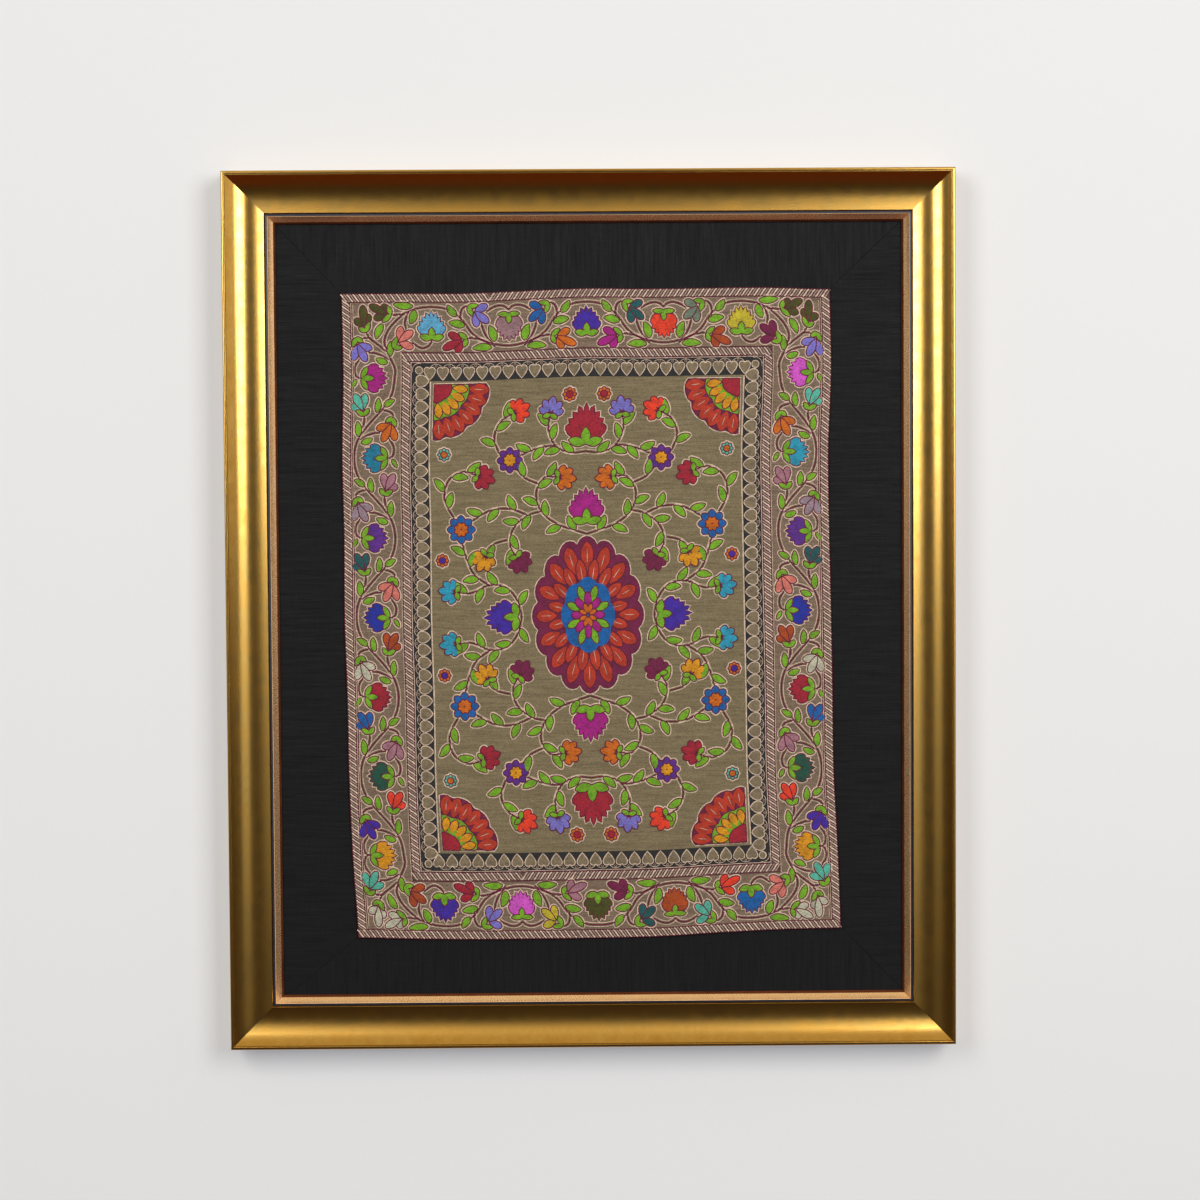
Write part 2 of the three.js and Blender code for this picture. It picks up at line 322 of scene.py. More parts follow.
class Board:
    """A material's node board: short calls that add nodes and wire them to its shader."""

    def __init__(self, name: str, metallic: float = 0.0, roughness: float = 0.5,
                 specular: float = 0.5) -> None:
        """Start a material with one shader whose constant values are set on its sockets.

        Args:
            name: the material's name.
            metallic: how metallic it is.
            roughness: its roughness.
            specular: the strength of its plain reflection.
        """
        self.material = bpy.data.materials.new(name)
        self.material.use_nodes = True
        self.tree = self.material.node_tree
        self.tree.nodes.clear()
        self.shader = self.add("ShaderNodeBsdfPrincipled")
        output = self.add("ShaderNodeOutputMaterial")
        self.join(self.shader.outputs["BSDF"], output.inputs["Surface"])
        self.shader.inputs["Metallic"].default_value = metallic
        self.shader.inputs["Roughness"].default_value = roughness
        self.shader.inputs["Specular IOR Level"].default_value = specular

    def add(self, kind: str, **settings: object) -> bpy.types.Node:
        """Add a node and set its plain properties."""
        node = self.tree.nodes.new(kind)
        for key, value in settings.items():
            setattr(node, key, value)
        return node

    def join(self, source: bpy.types.NodeSocket, target: bpy.types.NodeSocket) -> None:
        """Wire one socket to another."""
        self.tree.links.new(source, target)

    def feed(self, target: bpy.types.NodeSocket, value: object) -> None:
        """Give an input a socket to read or a plain value."""
        if isinstance(value, bpy.types.NodeSocket):
            self.join(value, target)
        else:
            target.default_value = value

    def place(self, cell: tuple[float, float, float], uv: str = "") -> bpy.types.NodeSocket:
        """Give coordinates in which one unit is a cell of the given mm along each axis.

        Args:
            cell: the size of one unit along x, y and z, in mm.
            uv: a UV map to read in place of the object's own coordinates.

        Returns:
            The scaled coordinates.
        """
        if uv:
            source = self.add("ShaderNodeUVMap", uv_map=uv).outputs["UV"]
        else:
            source = self.add("ShaderNodeTexCoord").outputs["Object"]
        mapping = self.add("ShaderNodeMapping")
        mapping.inputs["Scale"].default_value = [1 / (size * MM) for size in cell]
        self.join(source, mapping.inputs["Vector"])
        return mapping.outputs["Vector"]

    def noise(self, place: bpy.types.NodeSocket, detail: float = 2.0,
              rough: float = 0.5) -> bpy.types.NodeSocket:
        """Give soft noise over some coordinates, from about 0.25 to 0.75.

        Args:
            place: the coordinates; the noise changes over about one unit.
            detail: how many finer octaves are added.
            rough: how strongly they count.

        Returns:
            The noise.
        """
        node = self.add("ShaderNodeTexNoise")
        self.join(place, node.inputs["Vector"])
        for key, number in (("Scale", 1.0), ("Detail", detail), ("Roughness", rough)):
            node.inputs[key].default_value = number
        return node.outputs["Fac"]

    def math(self, operation: str, first: object, second: object = 0.5) -> bpy.types.NodeSocket:
        """Combine two numbers by the named operation, each a socket or a plain value.

        Args:
            operation: the math node's operation.
            first: its first number.
            second: its second number.

        Returns:
            The result.
        """
        node = self.add("ShaderNodeMath", operation=operation)
        self.feed(node.inputs[0], first)
        self.feed(node.inputs[1], second)
        return node.outputs[0]

    def weighted(self, *parts: tuple[bpy.types.NodeSocket, float]) -> bpy.types.NodeSocket:
        """Add up numbers, each times its weight.

        Args:
            parts: pairs of a number and its weight.

        Returns:
            The sum.
        """
        total: object = 0.0
        for value, weight in parts:
            total = self.math("ADD", total, self.math("MULTIPLY", value, weight))
        return total

    def spread(self, value: bpy.types.NodeSocket, low: float, high: float,
               to_low: float = 0.0, to_high: float = 1.0) -> bpy.types.NodeSocket:
        """Stretch a number from the range low to high to another range, held at both ends.

        Args:
            value: the number.
            low: start of its range.
            high: end of its range.
            to_low: what the start becomes.
            to_high: what the end becomes.

        Returns:
            The stretched number.
        """
        node = self.add("ShaderNodeMapRange")
        self.join(value, node.inputs["Value"])
        for key, number in (("From Min", low), ("From Max", high),
                            ("To Min", to_low), ("To Max", to_high)):
            node.inputs[key].default_value = number
        return node.outputs["Result"]

    def mix(self, share: object, first: object, second: object) -> bpy.types.NodeSocket:
        """Mix two colours: a share of 0 gives the first and a share of 1 the second.

        Args:
            share: the share, a socket or a plain value.
            first: a colour.
            second: a colour.

        Returns:
            The mixed colour.
        """
        node = self.add("ShaderNodeMix", data_type="RGBA")
        self.feed(node.inputs[0], share)
        self.feed(node.inputs[6], first)
        self.feed(node.inputs[7], second)
        return node.outputs[2]

    def ribs(self, place: bpy.types.NodeSocket, axis: str) -> bpy.types.NodeSocket:
        """Give the weave's ribs: a sine wave along one axis, one rib to a cell.

        Args:
            place: the coordinates.
            axis: the axis that the ribs follow one another along.

        Returns:
            The wave, from 0 to 1.
        """
        node = self.add("ShaderNodeTexWave", wave_type="BANDS", bands_direction=axis)
        self.join(place, node.inputs["Vector"])
        settings = {"Scale": RIB_SCALE, "Distortion": 0.6, "Detail": 1.0, "Detail Scale": 0.7}
        for key, number in settings.items():
            node.inputs[key].default_value = number
        return node.outputs["Fac"]

    def colour(self, value: object) -> None:
        """Feed the shader's colour."""
        self.feed(self.shader.inputs["Base Color"], value)

    def tones(self, value: bpy.types.NodeSocket, span: Point, low: Colour, high: Colour) -> None:
        """Colour the surface from one tone to another as a number crosses a span.

        Args:
            value: the number.
            span: where the first tone ends and where the second one is reached.
            low: screen colour below the span.
            high: screen colour above it.
        """
        self.colour(self.mix(self.spread(value, *span), linear(*low), linear(*high)))

    def roughness(self, value: object) -> None:
        """Feed the shader's roughness."""
        self.feed(self.shader.inputs["Roughness"], value)

    def bump(self, height: bpy.types.NodeSocket, depth: float, strength: float = 1.0) -> None:
        """Raise the surface by a height from 0 to 1 times a depth in mm.

        Args:
            height: the height.
            depth: the depth in mm.
            strength: how strongly it counts.
        """
        node = self.add("ShaderNodeBump")
        node.inputs["Strength"].default_value = strength
        node.inputs["Distance"].default_value = depth * MM
        self.join(height, node.inputs["Height"])
        self.join(node.outputs["Normal"], self.shader.inputs["Normal"])


class Finish:
    """A finish that makes its material once and keeps it."""

    _made: dict[str, bpy.types.Material] = {}

    def material(self) -> bpy.types.Material:
        """Give the finish's material, made on first use."""
        key = repr(self)
        if key not in Finish._made:
            Finish._made[key] = self.build()
        return Finish._made[key]

    def build(self) -> bpy.types.Material:
        """Wire the material's nodes."""
        raise NotImplementedError


@dataclass(frozen=True)
class GiltFinish(Finish):
    """Burnished gilt over a warm ground: mottled metal that dulls and darkens in patches."""

    name: str = "gilt"
    bright: Colour = (208, 172, 96)
    dull: Colour = (194, 150, 70)
    roughness_from: float = 0.2
    roughness_to: float = 0.26
    patch: float = 9.0
    grain: float = 0.9
    grain_share: float = 0.35
    contrast: Point = (0.36, 0.64)
    polish: Point = (0.35, 0.65)
    relief: float = 0.006

    def build(self) -> bpy.types.Material:
        """Mix both golds by broad patches and fine grain, which also sets the roughness."""
        board = Board(self.name, metallic=1.0)
        patches = board.noise(board.place((self.patch,) * 3), detail=4.0, rough=0.62)
        grain = board.noise(board.place((self.grain,) * 3), detail=3.0, rough=0.6)
        blend = board.weighted((patches, 1 - self.grain_share), (grain, self.grain_share))
        board.tones(blend, self.contrast, self.dull, self.bright)
        board.roughness(board.spread(blend, *self.polish, self.roughness_to, self.roughness_from))
        board.bump(grain, self.relief, 0.6)
        return board.material


@dataclass(frozen=True)
class LacquerFinish(Finish):
    """A thin coloured coat on the slip, a little worn and uneven along its length."""

    name: str
    colour: Colour
    worn: Colour
    metallic: float = 0.0
    roughness: float = 0.4
    rougher: float = 0.12
    streak: tuple[float, float, float] = (14.0, 3.0, 14.0)
    speck: float = 0.7
    speck_share: float = 0.4
    wear: Point = (0.5, 0.95)
    relief: float = 0.03

    def build(self) -> bpy.types.Material:
        """Mix the coat with its worn colour by streaks and specks."""
        board = Board(self.name, metallic=self.metallic, roughness=self.roughness)
        streaks = board.noise(board.place(self.streak), detail=5.0, rough=0.65)
        specks = board.noise(board.place((self.speck,) * 3), detail=2.0)
        worn = board.weighted((streaks, 1.0), (specks, self.speck_share))
        board.tones(worn, self.wear, self.colour, self.worn)
        board.roughness(board.spread(specks, 0.3, 0.7, self.roughness, self.roughness + self.rougher))
        board.bump(specks, self.relief, 0.5)
        return board.material


@dataclass(frozen=True)
class SlubSilkFinish(Finish):
    """Black dupion: slubs run across the strip, over a fine plain weave.

    Its cells are read on the flat strip, as their width and length.
    """

    name: str = "black_slub_silk"
    dark: Colour = (11, 12, 14)
    light: Colour = (24, 26, 30)
    slub: Point = (0.7, 26.0)
    coarse: Point = (2.6, 60.0)
    cross: Point = (18.0, 0.8)
    thread: Point = (0.5, 0.5)
    weights: tuple[float, float, float] = (0.55, 0.3, 0.15)
    contrast: Point = (0.32, 0.72)
    weave_share: float = 0.12
    relief: float = 0.5

    def build(self) -> bpy.types.Material:
        """Streaks drawn out along the slubs set the colour, and with the weave the bump."""
        board = Board(self.name, roughness=0.62, specular=0.12)
        slub, coarse, cross, thread = (
            board.place((*cell, 1.0), "flat") for cell in (self.slub, self.coarse, self.cross, self.thread))
        noises = (board.noise(slub, 3.0, 0.6), board.noise(coarse, 2.0), board.noise(cross, 1.0))
        streaks = board.weighted(*zip(noises, self.weights))
        board.tones(streaks, self.contrast, self.dark, self.light)
        board.roughness(board.spread(streaks, 0.4, 0.6, 0.7, 0.5))
        weave = board.math("MULTIPLY", board.ribs(thread, "X"), board.ribs(thread, "Y"))
        board.bump(board.weighted((streaks, 1.0), (weave, self.weave_share)), self.relief, 0.7)
        return board.material


@dataclass(frozen=True)
class GroundFinish(Finish):
    """Woven ground of the brocade: weft streaks across, fine ribs and flecks of other threads."""

    name: str
    dark: Colour
    light: Colour
    streak: tuple[float, float, float] = (16.0, 9.0, 0.8)
    fleck: tuple[float, float, float] = (0.55, 5.0, 0.45)
    rib: tuple[float, float, float] = (0.5, 5.0, 0.42)
    fleck_share: float = 0.55
    rib_share: float = 0.5
    contrast: Point = (0.36, 0.64)
    roughness: Point = (0.47, 0.65)
    relief: float = 0.16

    def build(self) -> bpy.types.Material:
        """Mix both colours by streaks along the weft and by flecks; ribs raise the surface."""
        board = Board(self.name, specular=0.25)
        streaks = board.noise(board.place(self.streak), detail=3.0, rough=0.6)
        flecks = board.noise(board.place(self.fleck), detail=1.0)
        blend = board.weighted((streaks, 1 - self.fleck_share), (flecks, self.fleck_share))
        board.tones(blend, self.contrast, self.dark, self.light)
        board.roughness(board.spread(flecks, 0.3, 0.7, *self.roughness))
        ribs = board.ribs(board.place(self.rib), "Z")
        board.bump(board.weighted((ribs, self.rib_share), (blend, 1.0)), self.relief, 0.8)
        return board.material


@dataclass(frozen=True)
class ThreadFinish(Finish):
    """Floating silk of one colour: short weft floats with painted shade between them, and shine that
    differs a little.
    """

    name: str
    colour: Colour
    # Share of the colour left between the floats: painted shade where the surface dips.
    depth: float = 0.72
    floating: tuple[float, float, float] = (1.3, 4.0, 0.5)
    patch: float = 5.0
    rib: tuple[float, float, float] = (0.5, 5.0, 0.4)
    patch_share: float = 0.3
    rib_share: float = 0.5
    contrast: Point = (0.38, 0.6)
    roughness: Point = (0.44, 0.6)
    relief: float = 0.14

    def build(self) -> bpy.types.Material:
        """Darken the colour between floats as painted shade; the floats and their ribs raise the surface.
        """
        board = Board(self.name, specular=0.25)
        floats = board.noise(board.place(self.floating), detail=2.0, rough=0.6)
        patches = board.noise(board.place((self.patch,) * 3), detail=1.0)
        blend = board.weighted((floats, 1 - self.patch_share), (patches, self.patch_share))
        # Painted shade: the thread's colour darkened for the dips between floats.
        darker_tone = tuple(part * self.depth for part in self.colour)
        board.tones(blend, self.contrast, darker_tone, self.colour)
        board.roughness(board.spread(floats, 0.3, 0.7, *self.roughness))
        ribs = board.ribs(board.place(self.rib), "Z")
        board.bump(board.weighted((ribs, self.rib_share), (floats, 1.0)), self.relief, 0.8)
        return board.material


@dataclass(frozen=True)
class FibreboardFinish(Finish):
    """Plain brown backing board, with fibres and scuffs."""

    name: str = "fibreboard"
    dark: Colour = (118, 90, 62)
    light: Colour = (158, 128, 94)
    fibre: tuple[float, float, float] = (3.0, 3.0, 0.6)
    stain: float = 60.0
    stain_share: float = 0.4
    contrast: Point = (0.35, 0.65)
    relief: float = 0.12

    def build(self) -> bpy.types.Material:
        """Mix both browns by fine fibres over broad stains."""
        board = Board(self.name, roughness=0.85)
        fibres = board.noise(board.place(self.fibre), detail=4.0, rough=0.7)
        stains = board.noise(board.place((self.stain,) * 3), detail=3.0)
        blend = board.weighted((fibres, 1 - self.stain_share), (stains, self.stain_share))
        board.tones(blend, self.contrast, self.dark, self.light)
        board.bump(fibres, self.relief, 0.6)
        return board.material


# The frame


class Side(Enum):
    """A side of the frame or of the cloth."""

    TOP = "top"
    BOTTOM = "bottom"
    LEFT = "left"
    RIGHT = "right"


@dataclass(frozen=True)
class Layout:
    """Outer size of the frame and where its middle lies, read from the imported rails."""

    width: float
    height: float
    middle: float

    @classmethod
    def read(cls) -> "Layout":
        """Measure the rails' boxes."""
        left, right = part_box("rail_left")[0].x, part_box("rail_right")[1].x
        low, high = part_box("rail_bottom")[0].z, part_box("rail_top")[1].z
        return cls((right - left) / MM, (high - low) / MM, (low + high) / 2 / MM)

    def carry(self, side: Side, run: Array, inset: Array, height: Array) -> Array:
        """Turn places along a side into points of the frame.

        Args:
            side: the side.
            run: distance along it from its middle, clockwise as seen from the front.
            inset: distance in from the frame's outer edge.
            height: height above the back plane.

        Returns:
            Points (x, y, z) in mm, with y = -height.
        """
        half_width, half_height = self.width / 2 - inset, self.height / 2 - inset
        if side is Side.TOP:
            x, z = run, half_height
        elif side is Side.BOTTOM:
            x, z = -run, -half_height
        elif side is Side.LEFT:
            x, z = -half_width, run
        else:
            x, z = half_width, -run
        return np.stack(np.broadcast_arrays(x, -height, z + self.middle), axis=-1)

    def length(self, side: Side) -> float:
        """Give the outer length of a side."""
        return self.width if side in (Side.TOP, Side.BOTTOM) else self.height


def arc(centre: Point, radius: float, start: float, end: float, steps: int) -> Array:
    """Give points of an arc: its centre plus the radius times the cosine and sine of the angle.

    Args:
        centre: its centre.
        radius: its radius.
        start: angle of its first point, in degrees.
        end: angle of its last point.
        steps: steps between them.

    Returns:
        The points, one a row.
    """
    angles = np.radians(np.linspace(start, end, steps + 1))
    return np.stack([centre[0] + radius * np.cos(angles), centre[1] + radius * np.sin(angles)], axis=1)


@dataclass
class MitredBar:
    """A section carried along one side of the frame and cut to 45 degrees at both ends."""

    layout: Layout
    side: Side
    joint: float = 0.05
    rows: int = 9

    def section(self) -> Array:
        """Give the section as a closed outline of (inset, height) points."""
        raise NotImplementedError

    def shell(self) -> Shell:
        """Carry the section along the side.

        At inset u a ring's point stands at the share s, from -1 to 1, of half the outer length
        less u and the joint, so both ends lie in the planes of the mitres.
        """
        outline = self.section()
        half = self.layout.length(self.side) / 2 - outline[:, 0] - self.joint
        share = np.linspace(-1.0, 1.0, self.rows)[:, None]
        rings = self.layout.carry(self.side, share * half, outline[None, :, 0], outline[None, :, 1])
        shell = Shell()
        shell.bar(rings, outline)
        return shell


@dataclass
class GiltRail(MitredBar):
    """A rail: a flat back with a rebate, a scoop and a beaded lip at its outer edge."""

    width: float = 29.0
    rebate_inset: float = 22.0
    rebate_height: float = 17.5
    lip_height: float = 28.0
    lip_width: float = 2.2
    lip_radius: float = 1.0
    lip_round: float = 0.35
    quirk_width: float = 0.5
    quirk_drop: float = 1.1
    scoop_bottom: float = 21.4
    outer_radius: float = 28.0
    inner_radius: float = 45.0
    sight_width: float = 0.4
    sight_drop: float = 0.5
    arc_steps: int = 36
    round_steps: int = 4

    def section(self) -> Array:
        """Follow the outer side, the lip's bead, the quirk, the scoop's two arcs and the rebate."""
        bead = arc((self.lip_radius, self.lip_height - self.lip_radius), self.lip_radius, 180, 90,
                   2 * self.round_steps)
        shoulder = arc((self.lip_width - self.lip_round, self.lip_height - self.lip_round),
                       self.lip_round, 90, 0, self.round_steps)
        scoop_start = self.lip_width + self.quirk_width
        fall = math.asin((self.scoop_bottom - scoop_start) / self.outer_radius)
        lift = math.asin((self.width - self.sight_width - self.scoop_bottom) / self.inner_radius)
        low = self.lip_height - self.quirk_drop - self.outer_radius * (1 - math.cos(fall))
        outer = arc((self.scoop_bottom, low + self.outer_radius), self.outer_radius,
                    -90 - math.degrees(fall), -90, self.arc_steps)
        inner_arc = arc((self.scoop_bottom, low + self.inner_radius), self.inner_radius,
                        -90, -90 + math.degrees(lift), self.arc_steps // 3)
        scoop = np.vstack([outer, inner_arc[1:]])
        quirk = [(self.lip_width, self.lip_height - self.quirk_drop)]
        inner = [
            (self.width, scoop[-1, 1] - self.sight_drop),
            (self.width, self.rebate_height),
            (self.rebate_inset, self.rebate_height),
            (self.rebate_inset, 0.0),
        ]
        return np.vstack([[(0.0, 0.0)], bead, shoulder, quirk, scoop, inner])

    def build(self, gilt: Finish) -> bpy.types.Object:
        """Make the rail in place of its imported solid."""
        name = f"gilt_rail_{self.side.value}"
        rail = self.shell().piece(name, [gilt], sharp=32)
        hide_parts(f"rail_{self.side.value}")
        return rail


@dataclass
class GiltSlip(MitredBar):
    """A slip inside the rails: a dark face, a pale line along the arris painted as a highlight, a gilt
    bevel and a steep bole edge.
    """

    back: float = 12.3
    flange_inset: float = 22.3
    flange_height: float = 17.2
    face_inset: float = 29.3
    face_height: float = 18.9
    face_fall: float = 0.3
    arris_inset: float = 30.9
    bevel_inset: float = 34.8
    bevel_height: float = 15.3
    inset: float = 36.1
    edge_height: float = 13.1
    edge_round: float = 0.4
    foot_run: float = 0.25
    foot_rise: float = 0.45
    arris_start: float = 0.05
    arris_width: float = 0.6
    bole_lap: float = 0.1
    arc_steps: int = 10

    def section(self) -> Array:
        """Follow the flange, the face's low curve to the arris, the bevel and the steep edge.

        The face is the quadratic whose handle stands over the arris: each point is the blend
        (1-t)² of its start, 2t(1-t) of the handle and t² of its end.
        """
        level = self.face_height - self.face_fall
        start, handle, end = (np.array(point) for point in (
            (self.face_inset, level),
            (self.arris_inset, self.face_height + self.face_fall),
            (self.arris_inset + self.face_fall, level),
        ))
        t = np.linspace(0.0, 1.0, self.arc_steps + 1)[:, None]
        face = (1 - t) ** 2 * start + 2 * t * (1 - t) * handle + t**2 * end
        edge = [
            (self.bevel_inset - self.edge_round, self.bevel_height + self.edge_round * 0.9),
            (self.bevel_inset, self.bevel_height),
            (self.bevel_inset + self.edge_round * 0.5, self.bevel_height - self.edge_round),
            (self.inset - self.foot_run, self.edge_height + self.foot_rise),
            (self.inset, self.edge_height),
            (self.inset, self.back),
        ]
        flange = [
            (self.flange_inset, self.back),
            (self.flange_inset, self.flange_height),
            (self.face_inset, self.flange_height),
        ]
        return np.vstack([flange, face, edge])

    def build(self, face: Finish, arris: Finish, bevel: Finish, bole: Finish) -> bpy.types.Object:
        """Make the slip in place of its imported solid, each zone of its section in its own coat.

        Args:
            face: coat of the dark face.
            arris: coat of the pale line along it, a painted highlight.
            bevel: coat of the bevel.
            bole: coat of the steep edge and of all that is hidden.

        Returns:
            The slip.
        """
        shell = self.shell()
        middles = (self.section() + np.roll(self.section(), -1, axis=0)) / 2
        coats = [face, arris, bevel, bole]
        last = len(coats) - 1
        borders = [self.arris_inset + self.arris_start, self.arris_inset + self.arris_width,
                   self.bevel_inset - self.bole_lap]
        zone = np.searchsorted(borders, middles[:, 0])
        zone[middles[:, 0] < self.face_inset - 0.01] = last
        part = np.concatenate([np.tile(zone, self.rows - 1), np.full(len(shell.triangles[0]), last)])
        name = f"slip_{self.side.value}_moulding"
        slip = shell.piece(name, coats, part=part, sharp=32)
        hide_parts(f"slip_{self.side.value}")
        return slip


# The cloths


def graded(total: float, stops: Sequence[float], step: float) -> Array:
    """Give grid lines from 0 to a total that meet every stop, no more than a step apart.

    Args:
        total: the last line.
        stops: values that a line must meet.
        step: the widest gap.

    Returns:
        The lines, in rising order.
    """
    ends = sorted({0.0, total, *(s for s in stops if 0 < s < total)})
    runs = [np.linspace(a, b, math.ceil((b - a) / step) + 1)[:-1] for a, b in zip(ends, ends[1:])]
    return np.concatenate([*runs, [total]])


@dataclass(frozen=True)
class Weave:
    """The tapestry's flat rectangle, and how it lies in the frame.

    Corners are measured from the frame's middle. Each edge strays from the straight line between
    its corners: top and bottom are read left to right and move up, left and right are read top to
    bottom and move right.
    """

    middle: float
    width: float = 341.0
    height: float = 450.0
    top_left: Point = (-172.8, 221.7)
    top_right: Point = (168.1, 223.2)
    bottom_left: Point = (-165.3, -229.9)
    bottom_right: Point = (174.7, -225.6)
    stray_top: tuple[float, ...] = (0, -0.1, -0.5, 0.9, 2.2, 1.5, 1.6, 1.5, 0)
    stray_bottom: tuple[float, ...] = (0, -1.8, -3.0, -3.4, -3.7, -3.4, -1.6, -0.3, 0)
    stray_left: tuple[float, ...] = (0, -0.2, -2.4, -2.6, -3.8, -3.3, -3.6, -2.5, 0)
    stray_right: tuple[float, ...] = (0, 0.1, -2.8, -3.1, -2.8, -2.8, -3.0, -1.1, 0)
    face: float = 13.3
    ripple: float = 0.12

    def flat(self, across: Array, up: Array) -> tuple[Array, Array]:
        """Give x and z, from the frame's middle, of places on the weave.

        The four corners are blended straight by the shares across and up, and each edge's stray
        is added in proportion to how near that edge is.

        Args:
            across: distance across the weave from its left edge.
            up: distance up from its lower edge.

        Returns:
            The x of each place, and its z.
        """
        s, t = across / self.width, up / self.height
        blend = [
            (1 - t) * ((1 - s) * self.bottom_left[k] + s * self.bottom_right[k])
            + t * ((1 - s) * self.top_left[k] + s * self.top_right[k])
            for k in (0, 1)
        ]
        sideways = (1 - s) * self._stray(self.stray_left, 1 - t) + s * self._stray(self.stray_right, 1 - t)
        upwards = t * self._stray(self.stray_top, s) + (1 - t) * self._stray(self.stray_bottom, s)
        return blend[0] + sideways, blend[1] + upwards

    def length(self, side: Side) -> float:
        """Give the length of a side of the weave."""
        return self.width if side in (Side.TOP, Side.BOTTOM) else self.height

    def beside(self, side: Side, along: Array, inset: Array) -> Array:
        """Give places on the weave beside one of its sides.

        Args:
            side: the side.
            along: distance along it, from its left or upper end.
            inset: distance in from it.

        Returns:
            The places, as (across, up).
        """
        if side is Side.TOP:
            return np.stack([along, self.height - inset], axis=-1)
        if side is Side.BOTTOM:
            return np.stack([along, inset], axis=-1)
        if side is Side.LEFT:
            return np.stack([inset, self.height - along], axis=-1)
        return np.stack([self.width - inset, self.height - along], axis=-1)

    @staticmethod
    def _stray(values: tuple[float, ...], share: Array) -> Array:
        """Read an edge's smooth curve of stray at shares from 0 to 1.

        Args:
            values: the edge's stray at even steps.
            share: the shares.

        Returns:
            The stray at each share.
        """
        curve = smooth_curve(np.array(values)[:, None], 24)[:, 0]
        return np.interp(share, np.linspace(0.0, 1.0, len(curve)), curve)

    def carry(self, points: Array) -> Array:
        """Turn (across, up, rise) in mm into the frame: rise stands on the face and its ripple.

        Args:
            points: places on the weave and their rise over its face.

        Returns:
            Points (x, y, z) in mm.
        """
        across, up, rise = points[..., 0], points[..., 1], points[..., 2]
        x, z = self.flat(across, up)
        wave = np.sin(across / 21 + up / 47 + 0.6) * np.cos(up / 27 - across / 90)
        return np.stack([x, -(self.face + self.ripple * wave + rise), z + self.middle], axis=-1)


@dataclass
class SilkStrip:
    """A black silk strip, from the rebate to under the tapestry, mitred to its neighbours."""

    layout: Layout
    weave: Weave
    side: Side
    fill_inset: float = 22.6
    front: float = 12.0
    thickness: float = 1.7
    underlap: float = 14.0
    joint: float = 0.03
    fold_radius: float = 0.6
    fold_drop: float = 0.14
    pucker: float = 0.07
    pucker_reach: float = 5.0
    sink: float = 0.12
    drift: float = 0.05
    step: float = 5.0
    seam_steps: tuple[float, ...] = (0.0, 0.15, 0.4, 0.8, 1.5, 3.0, 5.5)

    def corners(self) -> Array:
        """Give the strip's outer and inner corners, as (x, z) from the frame's middle.

        Each seam runs from the rebate's corner through the tapestry's corner and on under it, and
        the strip's edge is stepped back from it by the joint.
        """
        width = self.layout.width / 2 - self.fill_inset
        height = self.layout.height / 2 - self.fill_inset
        cloth = self.weave
        seams = {
            (-1, 1): cloth.top_left, (1, 1): cloth.top_right,
            (-1, -1): cloth.bottom_left, (1, -1): cloth.bottom_right,
        }
        ends = {
            Side.TOP: ((-1, 1), (1, 1)), Side.RIGHT: ((1, 1), (1, -1)),
            Side.BOTTOM: ((1, -1), (-1, -1)), Side.LEFT: ((-1, -1), (-1, 1)),
        }[self.side]
        found = []
        for sign, corner in zip((1, -1), ends):
            outer = np.array([corner[0] * width, corner[1] * height])
            run = np.array(seams[corner]) - outer
            run = run / np.linalg.norm(run)
            inner = np.array(seams[corner]) + run * self.underlap * math.sqrt(2)
            back = sign * self.joint * np.array([-run[1], run[0]])
            found.append((outer + back, inner + back))
        return np.array(found)

    def area(self) -> float:
        """Give the strip's flat area in square metres, by the cross product of its diagonals."""
        (a, b), (d, c) = self.corners()
        first, second = c - a, d - b
        return abs(first[0] * second[1] - first[1] * second[0]) / 2 * MM**2

    def rise(self, s: Array, t: Array, length: float, depth: float) -> Array:
        """Give the front's height above the back plane at shares s along and t across.

        It falls by the square root of the fold's radius near each seam, and puckers there: a sine
        along the seam that fades with the distance from it. A slow drift runs over the whole.

        Args:
            s: shares along the strip.
            t: shares across it.
            length: the strip's length.
            depth: its depth.

        Returns:
            The height, for each place.
        """
        seam = np.minimum(s, 1 - s) * length / math.sqrt(2)
        inside = np.clip(seam / self.fold_radius, 0.0, 1.0)
        fold = self.fold_drop * (1 - np.sqrt(1 - (1 - inside) ** 2))
        run = t * depth * math.sqrt(2)
        wave = np.sin(run / 1.6 + 1.3 * np.sin(run / 5.5))
        crease = self.pucker * np.exp(-seam / self.pucker_reach) * wave * inside
        drift = self.drift * np.sin(s * length / 17 + t * 3) * np.sin(t * depth / 11 + s * 9)
        return self.front - fold + crease - self.sink + drift

    def build(self, silk: Finish) -> bpy.types.Object:
        """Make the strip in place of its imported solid.

        A point at shares s along and t across blends the four corners straight.
        """
        (first_outer, first_inner), (last_outer, last_inner) = self.corners()
        length = np.linalg.norm(last_outer - first_outer)
        near = np.array(self.seam_steps) * math.sqrt(2)
        along = np.concatenate([near, np.arange(12.0, length - 12.0, self.step), length - near[::-1]])
        depth = np.linalg.norm(first_inner - first_outer) / math.sqrt(2)
        across = np.linspace(0.0, depth, int(depth / self.step) + 1)
        s, t = np.meshgrid(along / length, across / depth, indexing="ij")
        outer = (1 - s)[..., None] * first_outer + s[..., None] * last_outer
        inner = (1 - s)[..., None] * first_inner + s[..., None] * last_inner
        flat = (1 - t)[..., None] * outer + t[..., None] * inner
        rise = self.rise(s, t, length, depth)
        x, z = flat[..., 0], flat[..., 1] + self.layout.middle
        front = np.stack([x, -rise, z], axis=-1)
        back = np.stack([x, np.full_like(x, self.thickness - self.front), z], axis=-1)
        shell = Shell()
        shell.sheet(front, back)
        level = self.side in (Side.TOP, Side.BOTTOM)
        cloth = (flat if level else flat[..., ::-1]).reshape(-1, 2)
        name = f"silk_strip_{self.side.value}"
        strip = shell.piece(name, [silk], flat=np.vstack([cloth, cloth]), sharp=60)
        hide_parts(f"border_{self.side.value}")
        self.area()
        return strip


